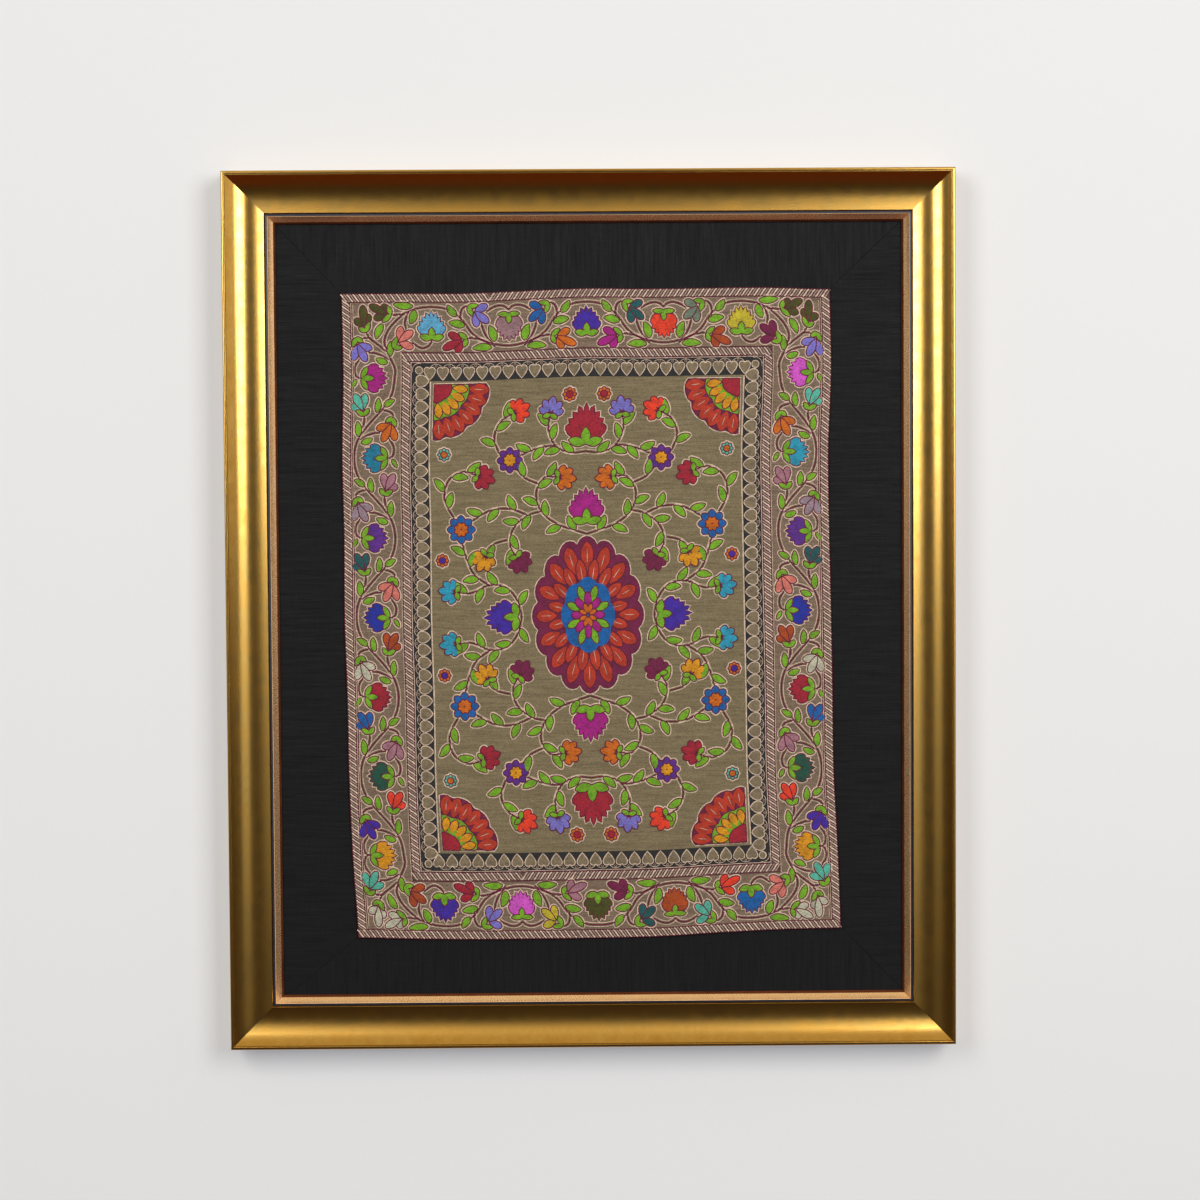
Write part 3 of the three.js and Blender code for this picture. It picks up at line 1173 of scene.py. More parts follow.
@dataclass
class BrocadeGround:
    """The tapestry's woven sheet: zones of ground by their inset from its edge."""

    weave: Weave
    thickness: float = 0.8
    step: float = 2.6
    rope_inset: float = 6.0
    field_inset: float = 41.0
    inner_rope_inset: float = 47.9
    panel_inset: float = 60.6
    edge_round: float = 0.3
    edge_shares: Point = (0.3, 1.0)
    zone_grounds: tuple[int, ...] = (0, 1, 0, 2, 3)

    def build(self, rope: Finish, ground: Finish, dark: Finish, panel: Finish) -> bpy.types.Object:
        """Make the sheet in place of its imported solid.

        A point stands at its place on the weave; the face falls to its back within the rounding
        at the edges. A face takes the ground of the zone that its middle's inset lies in.

        Args:
            rope: ground under both rope bands.
            ground: ground of the scroll's field.
            dark: ground of the heart row.
            panel: ground of the panel.

        Returns:
            The sheet.
        """
        width, height = self.weave.width, self.weave.height
        zones = [self.rope_inset, self.field_inset, self.inner_rope_inset, self.panel_inset]
        near = [self.edge_round * share for share in self.edge_shares]
        across = graded(width, [k for z in [*near, *zones] for k in (z, width - z)], self.step)
        up = graded(height, [k for z in [*near, *zones] for k in (z, height - z)], self.step)
        a, b = np.meshgrid(across, up, indexing="ij")
        inset = np.minimum(np.minimum(a, width - a), np.minimum(b, height - b))
        inside = np.clip(inset / self.edge_round, 0.0, 1.0)
        fall = self.edge_round * (1 - np.sqrt(1 - (1 - inside) ** 2))
        face = self.weave.carry(np.stack([a, b, -fall], axis=-1))
        back = self.weave.carry(np.stack([a, b, np.full_like(a, -self.thickness)], axis=-1))
        shell = Shell()
        shell.sheet(face, back)
        mid_a, mid_b = (across[1:] + across[:-1]) / 2, (up[1:] + up[:-1]) / 2
        ma, mb = np.meshgrid(mid_a, mid_b, indexing="ij")
        middle = np.minimum(np.minimum(ma, width - ma), np.minimum(mb, height - mb))
        zone = np.array(self.zone_grounds)[np.searchsorted(zones, middle)].ravel()
        part = np.zeros(len(shell.quads[0]), int)
        part[: len(zone)] = zone
        sheet = shell.piece("brocade_ground", [rope, ground, dark, panel], part=part, sharp=60)
        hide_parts("tapestry")
        return sheet


# Woven shapes


class Thread(Enum):
    """Silk colours of the brocade, as screen colours from 0 to 255."""

    OUTLINE = (214, 192, 172)
    CONTOUR = (98, 14, 48)
    ROPE = (232, 208, 192)
    ROPE_SHADE = (184, 156, 144)
    HEART = (126, 112, 90)
    BRICK = (178, 52, 32)
    LEAF = (112, 168, 30)
    LIGHT_BLUE = (88, 164, 206)
    BLUE = (8, 92, 166)
    ROYAL_BLUE = (26, 44, 160)
    VIOLET = (60, 34, 158)
    PURPLE = (88, 40, 140)
    TEAL_BLUE = (18, 118, 152)
    CYAN = (36, 150, 184)
    DARK_TEAL = (20, 84, 88)
    AQUA = (82, 180, 160)
    DARK_GREEN = (26, 76, 62)
    DARK_OLIVE = (70, 72, 20)
    OLIVE_YELLOW = (188, 174, 44)
    GOLD_YELLOW = (210, 144, 16)
    ORANGE = (198, 100, 16)
    RUST = (164, 68, 22)
    RED_ORANGE = (226, 60, 32)
    SALMON = (206, 116, 104)
    CRIMSON = (156, 26, 48)
    MAROON = (112, 22, 68)
    MAGENTA = (162, 22, 130)
    ORCHID = (206, 84, 200)
    MAUVE = (160, 112, 128)
    DUSKY_PINK = (148, 114, 122)
    LAVENDER = (118, 112, 198)
    GREY_LAVENDER = (146, 128, 142)
    GREY_GREEN = (104, 122, 106)
    PEARL = (186, 186, 166)

    def finish(self) -> ThreadFinish:
        """Give this colour's finish."""
        return ThreadFinish(f"silk_{self.name.lower()}", self.value)


@dataclass(frozen=True)
class Layer:
    """One layer of a woven motif: how far it grows past the outline and how it is domed."""

    grow: float
    edge: float
    crown: float


BACKING = Layer(grow=1.5, edge=0.1, crown=0.14)
CONTOUR = Layer(grow=0.72, edge=0.2, crown=0.24)
FILL = Layer(grow=0.0, edge=0.28, crown=0.4)


# Shares of a dome's reach at its rings from the floor up, and the height of its floor

DOME_SHARES = (1.0, 1.0, 0.62, 0.25)
FOOT = -0.1

# A thread's section: shares of half its width, and of its crown

ARCH_ACROSS = (-1.0, -0.75, 0.0, 0.75, 1.0)
ARCH_RISE = (0.6, 1.0, 0.6)
GUARD_WIDTH = 0.6
GUARD_CROWN = 0.2
STEM_CROWN = 0.4

# How far an upper motif stands over a lower one, and the step of a stem's points

LIFT = 0.22
STEM_STEP = 1.5

# Edges that bend by more degrees than this are sharp

CREASE = 50.0

# A drawn leaf's width to the listed one, and where a drawn petal starts and ends on its reach

LEAF_SPREAD = 1.12
PETAL_START = 0.02
PETAL_END = 1.05


def lens(base: Array, tip: Array, width: float, bend: float = 0.0, fullness: float = 1.0,
         bluntness: float = 0.75, count: int = 8) -> Array:
    """Outline a leaf or petal between two points.

    Its midline is the chord plus the bend times 4t(1-t) to its left. Its half width is half the
    width times the sine of pi times t to the fullness, raised to the bluntness: a fullness above
    1 moves the widest part towards the tip, and a low bluntness rounds the ends.

    Args:
        base: the stalk end.
        tip: the free end.
        width: the greatest width.
        bend: how far the midline bows to the left of the way from base to tip.
        fullness: where the widest part lies.
        bluntness: how pointed the ends are.
        count: steps from end to end.

    Returns:
        The closed outline, 2 * count points.
    """
    t = (1 - np.cos(np.linspace(0.0, np.pi, count + 1))) / 2
    chord = tip - base
    side = np.array([-chord[1], chord[0]]) / np.linalg.norm(chord)
    middle = base + t[:, None] * chord + (4 * bend * t * (1 - t))[:, None] * side
    half = width / 2 * np.sin(np.pi * t**fullness).clip(0) ** bluntness
    normal = left_of(middle)
    left, right = middle + half[:, None] * normal, middle - half[:, None] * normal
    return np.vstack([left, right[-2:0:-1]])


@dataclass(frozen=True)
class Leaf:
    """A leaf from its stalk to its tip."""

    base: Point
    tip: Point
    width: float
    bend: float = 0.0


@dataclass(frozen=True)
class Shield:
    """A big serrated flower, its tip along the second axis.

    Attributes:
        half: half its outline from tip to stalk, in mm: out from its middle, and up.
        calyx: the leaves at its stalk.
    """

    half: tuple[Point, ...]
    calyx: tuple[Leaf, ...]

    def outline(self) -> Array:
        """Close the half outline with its mirror image."""
        right = np.array(self.half)
        return np.vstack([right, right[-2:0:-1] * (-1, 1)])


UPRIGHT_SHIELD = Shield(
    half=(
        (0.0, 10.6), (0.8, 8.2), (1.4, 6.0), (2.3, 8.0), (3.7, 9.1), (3.8, 7.2), (3.9, 4.7), (4.9, 5.9),
        (6.3, 6.3), (6.2, 4.4), (5.7, 2.3), (7.0, 3.1), (8.3, 3.1), (7.9, 1.4), (7.1, -0.2), (8.5, 0.4),
        (9.5, -0.4), (9.6, -1.9), (8.7, -3.6), (7.3, -5.1), (5.8, -6.3), (3.4, -6.4), (0.0, -6.2),
    ),
    calyx=(Leaf((0.0, -9.0), (0.0, -1.2), 4.4), Leaf((-0.4, -8.8), (-8.0, -6.8), 4.2),
           Leaf((0.4, -8.8), (8.0, -6.8), 4.2)),
)
SIDE_SHIELD = Shield(
    half=(
        (0.0, 8.8), (0.8, 7.0), (1.4, 4.6), (2.3, 6.5), (3.4, 7.6), (3.8, 5.8), (4.4, 3.2), (5.4, 4.9),
        (6.6, 5.6), (6.7, 3.6), (6.7, 1.0), (7.7, 2.2), (8.8, 2.3), (9.5, 0.9), (9.7, -0.6),
        (9.2, -2.6), (8.1, -4.2), (6.5, -5.3), (4.0, -6.0), (0.0, -6.2),
    ),
    calyx=(Leaf((0.0, -9.0), (0.0, -0.9), 3.8), Leaf((-0.5, -9.3), (-7.8, -5.2), 3.3),
           Leaf((0.5, -9.3), (7.8, -5.2), 3.3)),
)
HANGING_SHIELD = Shield(
    half=(
        (0.0, 9.2), (0.9, 7.4), (1.6, 5.6), (2.5, 7.4), (3.6, 8.2), (3.8, 6.2), (3.9, 4.2), (5.1, 5.5),
        (6.2, 5.6), (6.0, 3.6), (5.8, 1.8), (7.0, 2.8), (8.1, 2.5), (7.7, 0.6), (7.4, -0.9),
        (8.4, -0.6), (9.0, -1.8), (8.7, -3.8), (7.8, -5.6), (6.6, -6.8), (3.6, -7.4), (0.0, -7.4),
    ),
    calyx=(Leaf((0.0, -9.0), (0.0, -3.0), 3.6), Leaf((0.8, -9.0), (-7.4, -9.4), 3.2),
           Leaf((-0.8, -9.0), (7.4, -9.4), 3.2)),
)


@dataclass(frozen=True)
class Blossom:
    """A small flower: petals fanned from its root, in a cap of two leaves."""

    root: Point
    tips: tuple[Point, ...]
    cap: Point
    arms: tuple[Point, Point]
    petal: float = 4.9
    arm: float = 3.1


@dataclass(frozen=True)
class Spray:
    """A part of the scroll, in its own flat axes: blossoms, leaves and stems."""

    blossoms: tuple[Blossom, ...] = ()
    leaves: tuple[Leaf, ...] = ()
    stems: tuple[tuple[Point, ...], ...] = ()


@dataclass(frozen=True)
class Axes:
    """Where a spray's own axes lie on the weave.

    Attributes:
        origin: the spray's zero, on the weave.
        first: the weave's step for one mm along the spray's first axis.
        second: the same for its second axis.
    """

    origin: Point
    first: Point
    second: Point

    def carry(self, points: Iterable[Point]) -> Array:
        """Turn points of the spray into places on the weave: origin + x first + y second."""
        flat = np.atleast_2d(np.array(points, float))
        return np.array(self.origin) + flat @ np.array([self.first, self.second])


@dataclass
class Loom:
    """Gathers the woven shapes of one part of the cloth, one shell for each thread colour."""

    weave: Weave
    prefix: str
    shells: dict[Thread, Shell] = field(default_factory=dict)

    def shell(self, thread: Thread) -> Shell:
        """Give the shell that gathers one colour."""
        return self.shells.setdefault(thread, Shell())

    def dome(self, outline: Array, thread: Thread, layer: Layer, lift: float = 0.0,
             heart: Array | None = None) -> None:
        """Cover an outline with a low closed dome.

        A ring at share r of the way from the heart to the outline stands at
        edge + (crown - edge)(1 - r²); under it lies a level ring and a level floor.

        Args:
            outline: the closed outline on the weave.
            thread: the colour.
            layer: how far the dome grows past the outline, and its heights.
            lift: how far it is raised.
            heart: the place its rings shrink to; the outline's middle without it.
        """
        outline = anticlockwise(outline)
        heart = outline.mean(axis=0) if heart is None else heart
        grown = outline - layer.grow * left_of(outline, closed=True)
        shares = np.array(DOME_SHARES)
        rises = layer.edge + (layer.crown - layer.edge) * (1 - shares**2) + lift
        rises[0] = FOOT
        flat = heart + shares[:, None, None] * (grown - heart)
        rise = np.broadcast_to(rises[:, None, None], (*flat.shape[:2], 1))
        self.shell(thread).loft(np.concatenate([flat, rise], axis=-1))

    def motif(self, outline: Array, thread: Thread, lift: float = 0.0, backed: bool = True,
              heart: Array | None = None) -> None:
        """Weave a motif: its fill over a dark contour, over a pale outline.

        Args:
            outline: the closed outline of its fill.
            thread: the fill's colour.
            lift: how far fill and contour are raised.
            backed: whether the pale outline is woven too.
            heart: the place its domes shrink to.
        """
        if backed:
            self.dome(outline, Thread.OUTLINE, BACKING, heart=heart)
        self.dome(outline, Thread.CONTOUR, CONTOUR, lift, heart=heart)
        self.dome(outline, thread, FILL, lift, heart=heart)

    def strand(self, path: Array, thread: Thread, width: float, crown: float,
               closed: bool = False) -> None:
        """Lay a thread along a flat path: a low arch of five points across, on a level foot.

        Args:
            path: the thread's middle, on the weave.
            thread: the colour.
            width: its width.
            crown: its height.
            closed: whether it leads back to its start.
        """
        rise = np.array([FOOT, *(share * crown for share in ARCH_RISE), FOOT])
        rings = self._rings(path, np.array(ARCH_ACROSS) * width / 2, rise, np.ones(len(path)), closed)
        if closed:
            self.shell(thread).hoop(rings)
        else:
            self.shell(thread).loft(rings)

    def vein(self, path: Array, thread: Thread, width: float, crown: float) -> None:
        """Lay a short thread on a petal, tapered at both ends, its foot half a mm under its crown.

        Args:
            path: four places on the weave.
            thread: the colour.
            width: its greatest width.
            crown: the height of its crown.
        """
        across = np.array([-1.0, -0.6, 0.0, 0.6, 1.0]) * width / 2
        rise = crown - np.array([0.5, 0.1, 0.0, 0.1, 0.5])
        self.shell(thread).loft(self._rings(path, across, rise, np.array([0.3, 1.0, 1.0, 0.3])))

    @staticmethod
    def _rings(path: Array, across: Array, rise: Array, taper: Array, closed: bool = False) -> Array:
        """Carry a thread's section, its steps across and its heights, along a path.

        Args:
            path: the thread's middle.
            across: the section's steps to the left.
            rise: its heights.
            taper: a factor on the steps at each point of the path.
            closed: whether the path is closed.

        Returns:
            Rings of (across, up, rise).
        """
        reach = taper[:, None, None] * across[None, :, None]
        flat = path[:, None, :] + reach * left_of(path, closed)[:, None, :]
        heights = np.broadcast_to(rise[None, :, None], (*flat.shape[:2], 1))
        return np.concatenate([flat, heights], axis=-1)

    def stem(self, path: Array, width: float = 0.95, guard: float = 1.35, closed: bool = False) -> None:
        """Lay a dark stem with a pale guard thread along each side.

        Args:
            path: the stem's middle.
            width: its width.
            guard: how far the guard threads lie from its middle.
            closed: whether it leads back to its start.
        """
        self.strand(path, Thread.CONTOUR, width, STEM_CROWN, closed)
        side = left_of(path, closed)
        for sign in (-1, 1):
            self.strand(path + sign * guard * side, Thread.OUTLINE, GUARD_WIDTH, GUARD_CROWN, closed)

    def spray(self, axes: Axes, spray: Spray, colours: Sequence[Thread]) -> None:
        """Weave a spray's stems, leaves and blossoms, one colour for each blossom.

        Args:
            axes: where the spray's own axes lie.
            spray: the spray.
            colours: the blossoms' colours.
        """
        for stem in spray.stems:
            self.stem(even_steps(smooth_curve(axes.carry(stem), 8), STEM_STEP))
        turn = np.sign(axes.first[0] * axes.second[1] - axes.first[1] * axes.second[0])
        for leaf in spray.leaves:
            base, tip = axes.carry((leaf.base, leaf.tip))
            outline = lens(base, tip, LEAF_SPREAD * leaf.width, turn * leaf.bend, 0.85)
            self.motif(outline, Thread.LEAF)
        for blossom, colour in zip(spray.blossoms, colours):
            self.blossom(axes, blossom, colour)

    def blossom(self, axes: Axes, blossom: Blossom, colour: Thread) -> None:
        """Weave a small flower: two petals, the middle one over them, and a cap over their root.

        Args:
            axes: where the spray's own axes lie.
            blossom: the flower.
            colour: its petals' colour.
        """
        root, cap = axes.carry((blossom.root, blossom.cap))
        first, middle, last = axes.carry(blossom.tips)
        for tip, lift in ((first, 0.0), (last, 0.0), (middle, LIFT)):
            start, end = root + PETAL_START * (tip - root), root + PETAL_END * (tip - root)
            petal = lens(start, end, blossom.petal, 0.0, 1.45, bluntness=0.55)
            self.motif(petal, colour, lift=lift)
        for arm in axes.carry(blossom.arms):
            self.motif(lens(cap, arm, blossom.arm, 0.0, 0.9), Thread.LEAF, lift=LIFT)

    def big_flower(self, axes: Axes, colour: Thread, shield: Shield, size: float = 1.0) -> None:
        """Weave a serrated flower with its tip along the second axis, and the calyx at its stalk.

        Args:
            axes: where the flower's middle and axes lie.
            colour: its colour.
            shield: its shape.
            size: its scale.
        """
        outline = axes.carry(shield.outline() * size)
        self.motif(outline, colour, heart=axes.carry([(0.0, -0.6)])[0])
        for leaf in shield.calyx:
            start, end = axes.carry(np.array((leaf.base, leaf.tip)) * size)
            self.motif(lens(start, end, leaf.width * size), Thread.LEAF, lift=LIFT)

    def cut_off(self) -> list[bpy.types.Object]:
        """Make each colour's shapes one piece, laid on the cloth as it lies in the frame."""
        made = []
        for thread, shell in self.shells.items():
            shell.points = [self.weave.carry(points) for points in shell.points]
            piece = shell.piece(f"{self.prefix}_{thread.name.lower()}", [thread.finish()], sharp=CREASE)
            made.append(piece)
        return made


# The border's scroll


# Sprays beside a big flower, in mm from its middle: along the band and towards the vine's bulge

SIDE_HOOK = Spray(
    blossoms=(Blossom((-23.5, -11.7), ((-20.4, -2.4), (-12.2, -6.2), (-12.9, -14.9)),
                      (-28.0, -12.6), ((-25.2, -8.2), (-22.0, -15.2))),),
    leaves=(Leaf((-10.8, 8.6), (-13.6, 1.2), 3.5, 0.5),),
    stems=(
        ((-12.8, 9.6), (-15.5, 5.1), (-17.3, 0.7), (-17.9, -4.2)),
        ((-13.6, -10.6), (-8.4, -13.7), (-4.0, -14.0), (-0.9, -12.6), (0.0, -9.6)),
    ),
)
SIDE_REACH = Spray(stems=(((-33.4, -6.2), (-32.4, -10.0), (-31.0, -12.4), (-28.6, -13.2)),))
SIDE_TAIL = Spray(
    blossoms=(Blossom((22.1, -8.1), ((11.4, -6.6), (11.6, -13.9), (19.3, -15.9)),
                      (25.8, -7.1), ((21.2, -4.0), (22.4, -12.5))),),
    leaves=(
        Leaf((0.9, -13.0), (6.3, -15.9), 2.2),
        Leaf((19.5, 7.0), (15.2, 13.6), 3.6, 0.5),
        Leaf((23.4, 1.6), (14.0, 2.5), 3.4, -0.5),
    ),
    stems=(((26.2, -7.1), (30.0, -7.0), (34.4, -8.3)),),
)
OUTER_LEAF = Spray(leaves=(Leaf((-15.4, 11.0), (-25.3, 11.6), 3.6, 0.4),))
UPRIGHT_FLANK = Spray(
    blossoms=(Blossom((20.6, -9.7), ((12.4, -5.2), (8.4, -15.4), (17.4, -17.6)),
                      (24.4, -9.0), ((19.0, -4.4), (22.2, -14.2))),),
    leaves=(
        Leaf((17.5, 7.2), (11.6, 14.4), 3.9, 0.6),
        Leaf((22.8, 0.2), (12.4, 2.4), 4.4, -0.4),
    ),
    stems=(((44.0, -14.6), (38.7, -12.0), (32.5, -9.3), (27.2, -8.2), (24.6, -9.0)),),
)
HANGING_FLANK = Spray(
    blossoms=(Blossom((23.6, -12.0), ((15.4, -15.8), (14.8, -4.4), (22.6, -2.0)),
                      (28.2, -15.6), ((21.4, -16.2), (25.4, -9.0))),),
    leaves=(
        Leaf((10.6, 9.0), (13.8, -1.6), 4.6, -0.8),
        Leaf((12.6, 13.4), (25.4, 13.6), 4.2, -0.7),
    ),
    stems=(
        ((33.2, -4.4), (33.6, -10.2), (31.9, -14.6), (28.2, -16.0)),
        ((15.6, -11.8), (10.2, -14.6), (5.8, -15.4), (2.2, -14.3), (0.0, -12.4)),
        ((19.2, -4.0), (18.3, 0.0), (15.9, 5.3), (11.5, 10.4)),
    ),
)

# The spray in a corner, in mm from the cloth's side edge and from its end edge

CORNER = Spray(
    blossoms=(
        Blossom((39.4, 33.6), ((48.6, 37.4), (48.7, 26.4), (41.2, 23.6)),
                (35.2, 37.4), ((41.4, 37.6), (38.2, 30.4))),
        Blossom((15.7, 22.2), ((9.4, 18.2), (15.1, 9.0), (19.4, 15.0)),
                (16.6, 26.6), ((12.0, 23.6), (19.4, 19.8))),
        Blossom((31.4, 14.4), ((23.2, 17.4), (20.4, 8.4), (29.6, 7.8)),
                (34.4, 14.6), ((28.6, 19.8), (32.6, 8.9))),
    ),
    leaves=(
        Leaf((28.5, 21.5), (23.8, 31.3), 4.0, 0.7),
        Leaf((49.6, 8.9), (36.6, 7.6), 4.0, -0.5),
        Leaf((50.8, 11.9), (47.8, 20.9), 4.4, -0.6),
    ),
    stems=(
        ((30.8, 40.4), (26.6, 36.7), (19.6, 31.2), (16.9, 27.0)),
        ((20.2, 31.4), (16.6, 30.6), (13.6, 31.8), (12.2, 34.4)),
        ((43.5, 14.2), (38.7, 14.9), (34.8, 14.9)),
        ((48.6, 34.0), (54.3, 37.6), (58.2, 37.4), (61.2, 35.0), (62.5, 32.0)),
        ((44.6, 25.5), (44.0, 20.3), (45.4, 15.8), (47.4, 12.6)),
        ((29.6, 34.4), (30.2, 36.8), (32.4, 38.6), (35.0, 38.0)),
    ),
)
CORNER_VINE = (
    (36.3, 51.6), (31.8, 41.7), (29.4, 33.3), (32.3, 25.4), (38.9, 18.0), (45.0, 13.3), (52.3, 10.6),
)

# The vine's bow past a big flower: along the band from its middle, and in from the cloth's edge
# at an end, or towards the bulge from the field's middle at a side

UPRIGHT_BOW = ((-20.6, 17.4), (-11.0, 10.9), (0.0, 9.4), (11.0, 10.9), (20.6, 17.4))
HANGING_BOW = ((-24.3, 29.2), (-11.0, 35.4), (0.0, 37.2), (11.0, 35.4), (24.3, 29.2))
SIDE_BOW = ((-20.3, 6.3), (-11.0, 11.9), (0.0, 13.8), (11.0, 11.9), (20.3, 6.3))


@dataclass
class ScrollBorder:
    """The floral scroll between the two rope bands."""

    loom: Loom
    field_middle: float = 22.4
    side_first: float = 58.6
    side_count: int = 7
    end_pitch: float = 54.0
    end_count: int = 5
    upright_inset: float = 22.7
    hanging_inset: float = 24.8

    def side_up(self, k: int) -> float:
        """Give how far up the cloth a side's big flower lies, counted from the top."""
        height = self.loom.weave.height
        return height - self.side_first - k * (height - 2 * self.side_first) / (self.side_count - 1)

    def end_across(self, k: int) -> float:
        """Give how far across the cloth an end's big flower lies, counted from the left."""
        return self.loom.weave.width / 2 + (k - self.end_count // 2) * self.end_pitch

    def side_band(self, side: Side, bigs: Sequence[Thread], before: Sequence[Thread],
                  after: Sequence[Thread]) -> None:
        """Weave the repeats down a side: each is the last one turned over.

        Args:
            side: left or right.
            bigs: colours of the big flowers, from the top.
            before: colours of the blossoms above them.
            after: colours of the blossoms below them.
        """
        width = self.loom.weave.width
        last = self.side_count - 1
        for k, big in enumerate(bigs):
            inward = 1 if k % 2 == 0 else -1
            across = self.field_middle if side is Side.LEFT else width - self.field_middle
            right = inward if side is Side.LEFT else -inward
            axes = Axes((across, self.side_up(k)), (0.0, -1.0), (right, 0.0))
            mirrored = Axes((across, self.side_up(k)), (0.0, 1.0), (right, 0.0))
            self.loom.big_flower(axes, big, SIDE_SHIELD)
            self.loom.spray(axes, SIDE_HOOK, [before[k]])
            self.loom.spray(axes, OUTER_LEAF, [])
            if k > 0:
                self.loom.spray(axes, SIDE_REACH, [])
            if k < last:
                self.loom.spray(axes, SIDE_TAIL, [after[k]])
            else:
                self.loom.spray(mirrored, SIDE_HOOK, [after[k]])
                self.loom.spray(mirrored, OUTER_LEAF, [])

    def end_band(self, side: Side, bigs: Sequence[Thread],
                 flanks: Sequence[tuple[Thread | None, Thread | None]]) -> None:
        """Weave the repeats across an end: upright and hanging in turn, each even-sided.

        Args:
            side: top or bottom.
            bigs: colours of the big flowers, from the left.
            flanks: colours of the blossoms to the left and right of each, or none.
        """
        weave = self.loom.weave
        outward = 1 if side is Side.TOP else -1
        edge = weave.height if side is Side.TOP else 0.0
        for k, (big, pair) in enumerate(zip(bigs, flanks)):
            upright = k % 2 == 0
            inset = self.upright_inset if upright else self.hanging_inset
            towards = outward if upright else -outward
            origin = (self.end_across(k), edge - outward * inset)
            shape = UPRIGHT_SHIELD if upright else HANGING_SHIELD
            self.loom.big_flower(Axes(origin, (1.0, 0.0), (0.0, towards)), big, shape)
            flank = UPRIGHT_FLANK if upright else HANGING_FLANK
            for sign, colour in zip((-1, 1), pair):
                if colour is not None:
                    self.loom.spray(Axes(origin, (sign, 0.0), (0.0, towards)), flank, [colour])

    def vine(self) -> None:
        """Run the vine once round the cloth, through every bulge and corner.

        Its knots are the bulges of the bands and the corner's own points, clockwise from the
        upper left; between them it is one smooth closed curve.
        """
        weave = self.loom.weave
        knots: list[Point] = []
        quarters = ((0, 1), (1, 1), (1, 0), (0, 0))
        for quarter, (right, top) in enumerate(quarters):
            corner = [
                (u if not right else weave.width - u, v if not top else weave.height - v)
                for u, v in CORNER_VINE
            ]
            end_next = quarter % 2 == 0
            knots += corner if end_next else corner[::-1]
            knots += self._end_knots(top, right) if end_next else self._side_knots(right)
        curve = smooth_curve(np.array(knots), 10, closed=True)
        path = even_steps(np.vstack([curve, knots[:1]]), STEM_STEP)
        self.loom.stem(path[:-1], closed=True)

    @staticmethod
    def _cut(bow: tuple[Point, ...], k: int, count: int) -> tuple[Point, ...]:
        """Leave out the half of the first and of the last bow that a corner replaces.

        Args:
            bow: the bow's knots.
            k: its number in the row.
            count: how many bows the row has.

        Returns:
            The knots that stay.
        """
        half = len(bow) // 2
        return bow[half if k == 0 else 0: half + 1 if k == count - 1 else len(bow)]

    def _end_knots(self, top: int, right: int) -> list[Point]:
        """Give the vine's knots along an end, in the way that it runs there."""
        height = self.loom.weave.height
        knots = []
        for k in range(self.end_count):
            bow = self._cut(HANGING_BOW if k % 2 else UPRIGHT_BOW, k, self.end_count)
            knots += [(self.end_across(k) + a, height - inset if top else inset) for a, inset in bow]
        return knots if not right else knots[::-1]

    def _side_knots(self, right: int) -> list[Point]:
        """Give the vine's knots along a side, in the way that it runs there."""
        width = self.loom.weave.width
        knots = []
        for k in range(self.side_count):
            inward = -1 if k % 2 else 1
            for a, c in self._cut(SIDE_BOW, k, self.side_count):
                inset = self.field_middle + inward * c
                knots.append((width - inset if right else inset, self.side_up(k) - a))
        return knots if right else knots[::-1]

    def corners(self, petals: dict[tuple[int, int], tuple[Thread, Thread]]) -> None:
        """Weave the four corner sprays, each the mirror image of its neighbours.

        Args:
            petals: for each corner, by (right, top), its first and its other blossoms' colours.
        """
        weave = self.loom.weave
        for (right, top), (flank, pair) in petals.items():
            origin = (weave.width * right, weave.height * top)
            axes = Axes(origin, (1.0 - 2 * right, 0.0), (0.0, 1.0 - 2 * top))
            self.loom.spray(axes, CORNER, [flank, pair, pair])

    def build(self) -> None:
        """Weave the whole scroll in the colours of its flowers."""
        t = Thread
        before = [t.LAVENDER, t.ORANGE, t.GREY_LAVENDER, t.SALMON, t.PEARL, t.MAUVE, t.VIOLET]
        after = [t.AQUA, t.MAUVE, t.DARK_TEAL, t.RUST, t.BLUE, t.RED_ORANGE, t.AQUA]
        lower = [t.ROYAL_BLUE, t.CRIMSON, t.DARK_GREEN, t.GOLD_YELLOW]
        self.vine()
        self.side_band(Side.LEFT, [t.MAGENTA, t.TEAL_BLUE, t.PURPLE, *lower], before, after)
        self.side_band(Side.RIGHT, [t.ORCHID, t.CYAN, t.PURPLE, *lower], before, after)
        self.end_band(
            Side.TOP, [t.LIGHT_BLUE, t.DUSKY_PINK, t.VIOLET, t.RED_ORANGE, t.OLIVE_YELLOW],
            [(None, t.CRIMSON), (t.LAVENDER, t.BLUE), (t.ORANGE, t.MAGENTA),
             (t.DARK_TEAL, t.GREY_GREEN), (t.RUST, None)],
        )
        self.end_band(
            Side.BOTTOM, [t.VIOLET, t.ORCHID, t.DARK_OLIVE, t.RUST, t.BLUE],
            [(None, t.CRIMSON), (t.LAVENDER, t.OLIVE_YELLOW), (t.MAUVE, t.MAROON),
             (t.DARK_TEAL, t.AQUA), (t.RED_ORANGE, None)],
        )
        self.corners({
            (0, 1): (t.SALMON, t.DARK_OLIVE), (1, 1): (t.MAROON, t.DARK_OLIVE),
            (0, 0): (t.RUST, t.PEARL), (1, 0): (t.SALMON, t.PEARL),
        })


# The ropes, lines and hearts

HEART_RIM = Layer(grow=0.2, edge=0.28, crown=0.3)
HEART_FACE = Layer(grow=-0.42, edge=0.34, crown=0.5)


